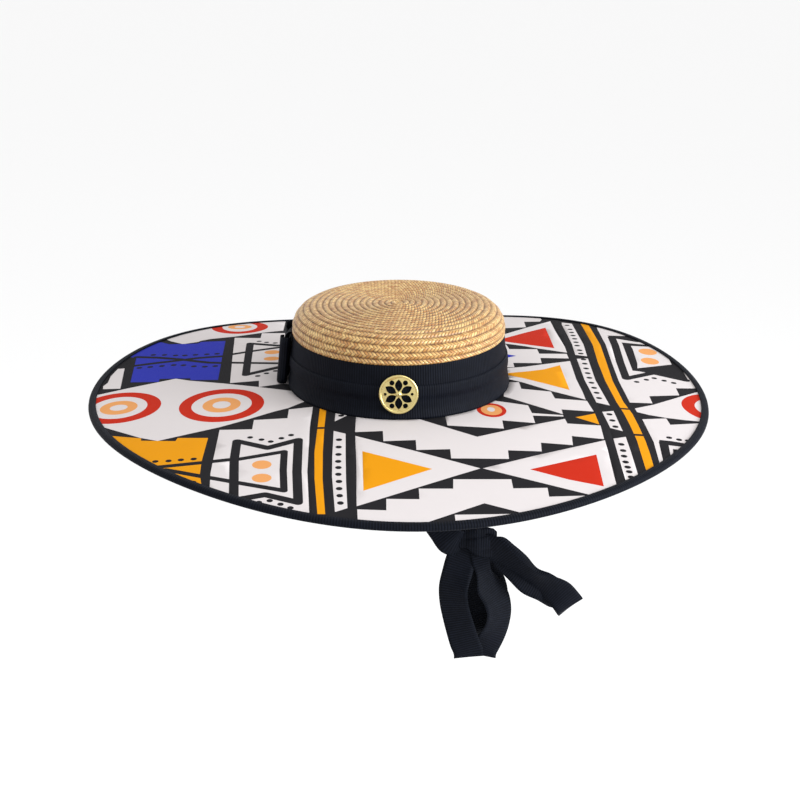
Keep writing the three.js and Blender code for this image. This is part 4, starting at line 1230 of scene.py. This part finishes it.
make_knot()
STRAPS = (("left", -1, STRAP_LEFT, KNOT_TIP), ("right", 1, STRAP_RIGHT, KNOT_TOP))
LOWER_BOW = (
    ("long_loop", LONG_LOOP, KNOT_FAN, LOOP_REACH), ("drop_loop", DROP_LOOP, KNOT_FOOT, TAIL_DROP),
    ("tail_left", TAIL_LEFT, KNOT_FOOT, TAIL_DROP), ("tail_right", TAIL_RIGHT, KNOT_FOOT, TAIL_DROP),
)
for hand, side, rows, end in STRAPS:
    ribbon_strip(f"chin_strap_{hand}_ribbon", strap_bends(side, rows, end), f"chin_strap_{hand}",
                 cup=STRAP_CUP)
for part, rows, start, reach in LOWER_BOW:
    ribbon_strip(f"chin_bow_{part}_ribbon", bow_bends(rows, start, reach), f"chin_bow_{part}")

# %% [markdown]
# A flat bow sits on the band at the viewer's left, over the ribbons' join. Each loop goes out and
# back, and a short wrap of ribbon holds the middle. The bow's points are found beside the band.
# The rows of a loop give how far it has gone away from the middle, how far it stands off the band
# and how tall it is, as shares. The loop at the back stands off further, as its ribbon springs up.

# %% Side bow
BOW_HEIGHT = 40.0
BOW_STAND = 9.0
BOW_BACK = 12.0
BOW_REACH = 18.9
BOW_KNOT_HALF = 6.5
BOW_LOW = 1.03
BOW_HIGH = 0.88
BACK_STANDS_OFF = 4.5
SIDE_CUP = 0.2
SIDE_WRAP_STEPS = 25
SIDE_WRAP_TALL, TALLER_AT_SIDES = 0.94, 0.04
SIDE_WRAP_STAND, LOWER_AT_SIDES = 0.86, 0.1
SIDE_PLEATS, SIDE_PLEAT_DEPTH = 2.5, 0.05
SIDE_WRAP_RADIUS, SIDE_WRAP_GIRTH = 15, 60
BOW_LOOP = (
    (0, 0.7, 0.85), (0.2, 0.9, 0.9), (0.5, 1, 0.96), (0.82, 0.92, 1), (0.99, 0.6, 1),
    (0.99, 0.28, 1), (0.8, 0.06, 1), (0.4, 0.03, 0.97), (0, 0.06, 0.9),
)
BAND_MIDDLE = BAND_FOOT + BAND_HEIGHT / 2


def beside_band(back, z, off):
    reach = wall_reach(z) + BAND_FACE + off
    return oval(reach, math.pi - math.asin(back / (reach + HALF_LENGTH - HALF_WIDTH)), z)


def make_side_loop(name, way, node):
    start = BOW_BACK + way * (BOW_KNOT_HALF + 2 * GAP)
    bends = []
    for away, stand, tall in BOW_LOOP:
        off = GAP + RIBBON / 2 + stand * (BOW_STAND - RIBBON - GAP)
        if way > 0:
            off += BACK_STANDS_OFF * away ** 2
        half = tall * BOW_HEIGHT / 2
        low = beside_band(start + way * BOW_REACH * away, BAND_MIDDLE - BOW_LOW * half, off)
        high = beside_band(start + way * BOW_REACH * away, BAND_MIDDLE + BOW_HIGH * half, off)
        width = np.linalg.norm(high - low)
        bends.append(Bend((low + high) / 2, (high - low) / width, width))
    return ribbon_strip(name, bends, node, cup=SIDE_CUP)


def make_side_knot():
    along = np.linspace(-1, 1, SIDE_WRAP_STEPS)
    around = np.linspace(0, math.pi, SIDE_WRAP_STEPS)
    rows = []
    for a in along:
        tall = BOW_HEIGHT / 2 * (SIDE_WRAP_TALL + TALLER_AT_SIDES * a * a)
        stand = BOW_STAND * (SIDE_WRAP_STAND - LOWER_AT_SIDES * a * a)
        pleat = 1 - SIDE_PLEAT_DEPTH * abs(math.sin(SIDE_PLEATS * math.pi * a))
        back = BOW_BACK + BOW_KNOT_HALF * a
        ring_row = []
        for t in around:
            rise = -math.cos(t)
            out = abs(math.sin(t)) ** 0.5
            z = BAND_MIDDLE + tall * rise * (BOW_HIGH if rise > 0 else BOW_LOW)
            ring_row.append(beside_band(back, z, GAP + (stand - GAP) * out * pleat))
        rows.append(ring_row)
    place = np.concatenate([around * SIDE_WRAP_RADIUS, [SIDE_WRAP_GIRTH]])
    piece = grid_piece("side_bow_wrap", np.array(rows), [RIBBON_SILK], (along + 1) * BOW_KNOT_HALF,
                       place, columns_close=True, capped=True)
    return dress(piece, "ribbon", "side_bow_knot")


make_side_loop("side_bow_front_ribbon", -1, "side_bow_loop_front")
make_side_loop("side_bow_back_ribbon", 1, "side_bow_loop_back")
make_side_knot()

# %% [markdown]
# The badge is stamped from thin brass and polished: a pierced rosette. The frame's own solid has
# that shape already, so it stays, with its sharp edges broken by a bevel. A rolled rim and a small
# domed boss are added, which catch the light as stamped brass does.

# %% Brass badge
BRASS = "#DCCB8C"
BADGE_RADIUS = 15.0
BADGE_LIFT = 19.5
BADGE_MIDDLE = BAND_FOOT + BADGE_LIFT
BADGE_SEAT = 0.8
BADGE_THICK = 1.2
BADGE_FACE = BADGE_SEAT + BADGE_THICK
BROKEN_EDGE = 0.18
HAZE_PER_METRE = 900.0
HAZE_DEPTH = 0.1
RIM_HALF, RIM_RISE = 0.9, 0.55
RIM_STEPS, TUBE_STEPS = 72, 12
RIM_STEP, TUBE_STEP, BOSS_STEP = 1.3, 0.5, 0.2
BOSS_ROWS = ((2.3, -0.5), (2.2, 0.1), (1.8, 0.55), (1.1, 0.9), (0.3, 1.05))


def brass_finish():
    brass, tree, shader = new_finish("polished_brass", Metallic=1.0)
    shader.inputs["Base Color"].default_value = linear(BRASS)
    place = add_node(tree, "ShaderNodeTexCoord").outputs["Object"]
    haze = add_node(tree, "ShaderNodeTexNoise", inputs={
        "Vector": place, "Scale": HAZE_PER_METRE, "Detail": 3.0})
    dull = reckon(tree, "MULTIPLY_ADD", haze.outputs[0], 0.2, 0.2)
    tree.links.new(dull, shader.inputs["Roughness"])
    bump = add_node(tree, "ShaderNodeBump", inputs={
        "Height": haze.outputs[0], "Strength": 0.15, "Distance": HAZE_DEPTH * MM})
    tree.links.new(bump.outputs[0], shader.inputs["Normal"])
    return brass


def on_badge(x, y, out):
    z = BADGE_MIDDLE + y
    reach = wall_reach(z) + BAND_FACE + BADGE_FACE + out
    return oval(reach, -math.acos(x / reach), z)


def make_badge():
    brass = brass_finish()
    plate = bpy.data.objects["badge"]
    plate.data.materials.clear()
    plate.data.materials.append(brass)
    edge = plate.modifiers.new("broken_edges", "BEVEL")
    edge.width = BROKEN_EDGE * MM
    edge.segments = 2
    edge.limit_method = "ANGLE"
    turns = np.arange(RIM_STEPS) * 2 * math.pi / RIM_STEPS
    tube = np.arange(TUBE_STEPS) * 2 * math.pi / TUBE_STEPS
    outline = [(BADGE_RADIUS - RIM_HALF + RIM_HALF * math.cos(b), RIM_RISE * math.sin(b)) for b in tube]
    rim = [[on_badge(r * math.cos(a), r * math.sin(a), out) for r, out in outline] for a in turns]
    boss = [[on_badge(r * math.cos(a), r * math.sin(a), out) for a in turns] for r, out in BOSS_ROWS]
    around = np.arange(RIM_STEPS + 1)
    dress(grid_piece("badge_rolled_rim", np.array(rim), [brass], around * RIM_STEP,
                     np.arange(TUBE_STEPS + 1) * TUBE_STEP, rows_close=True, columns_close=True), "brass")
    dress(grid_piece("badge_boss", np.array(boss), [brass], np.arange(len(BOSS_ROWS) + 1),
                     around * BOSS_STEP, columns_close=True, capped=True), "brass")


make_badge()
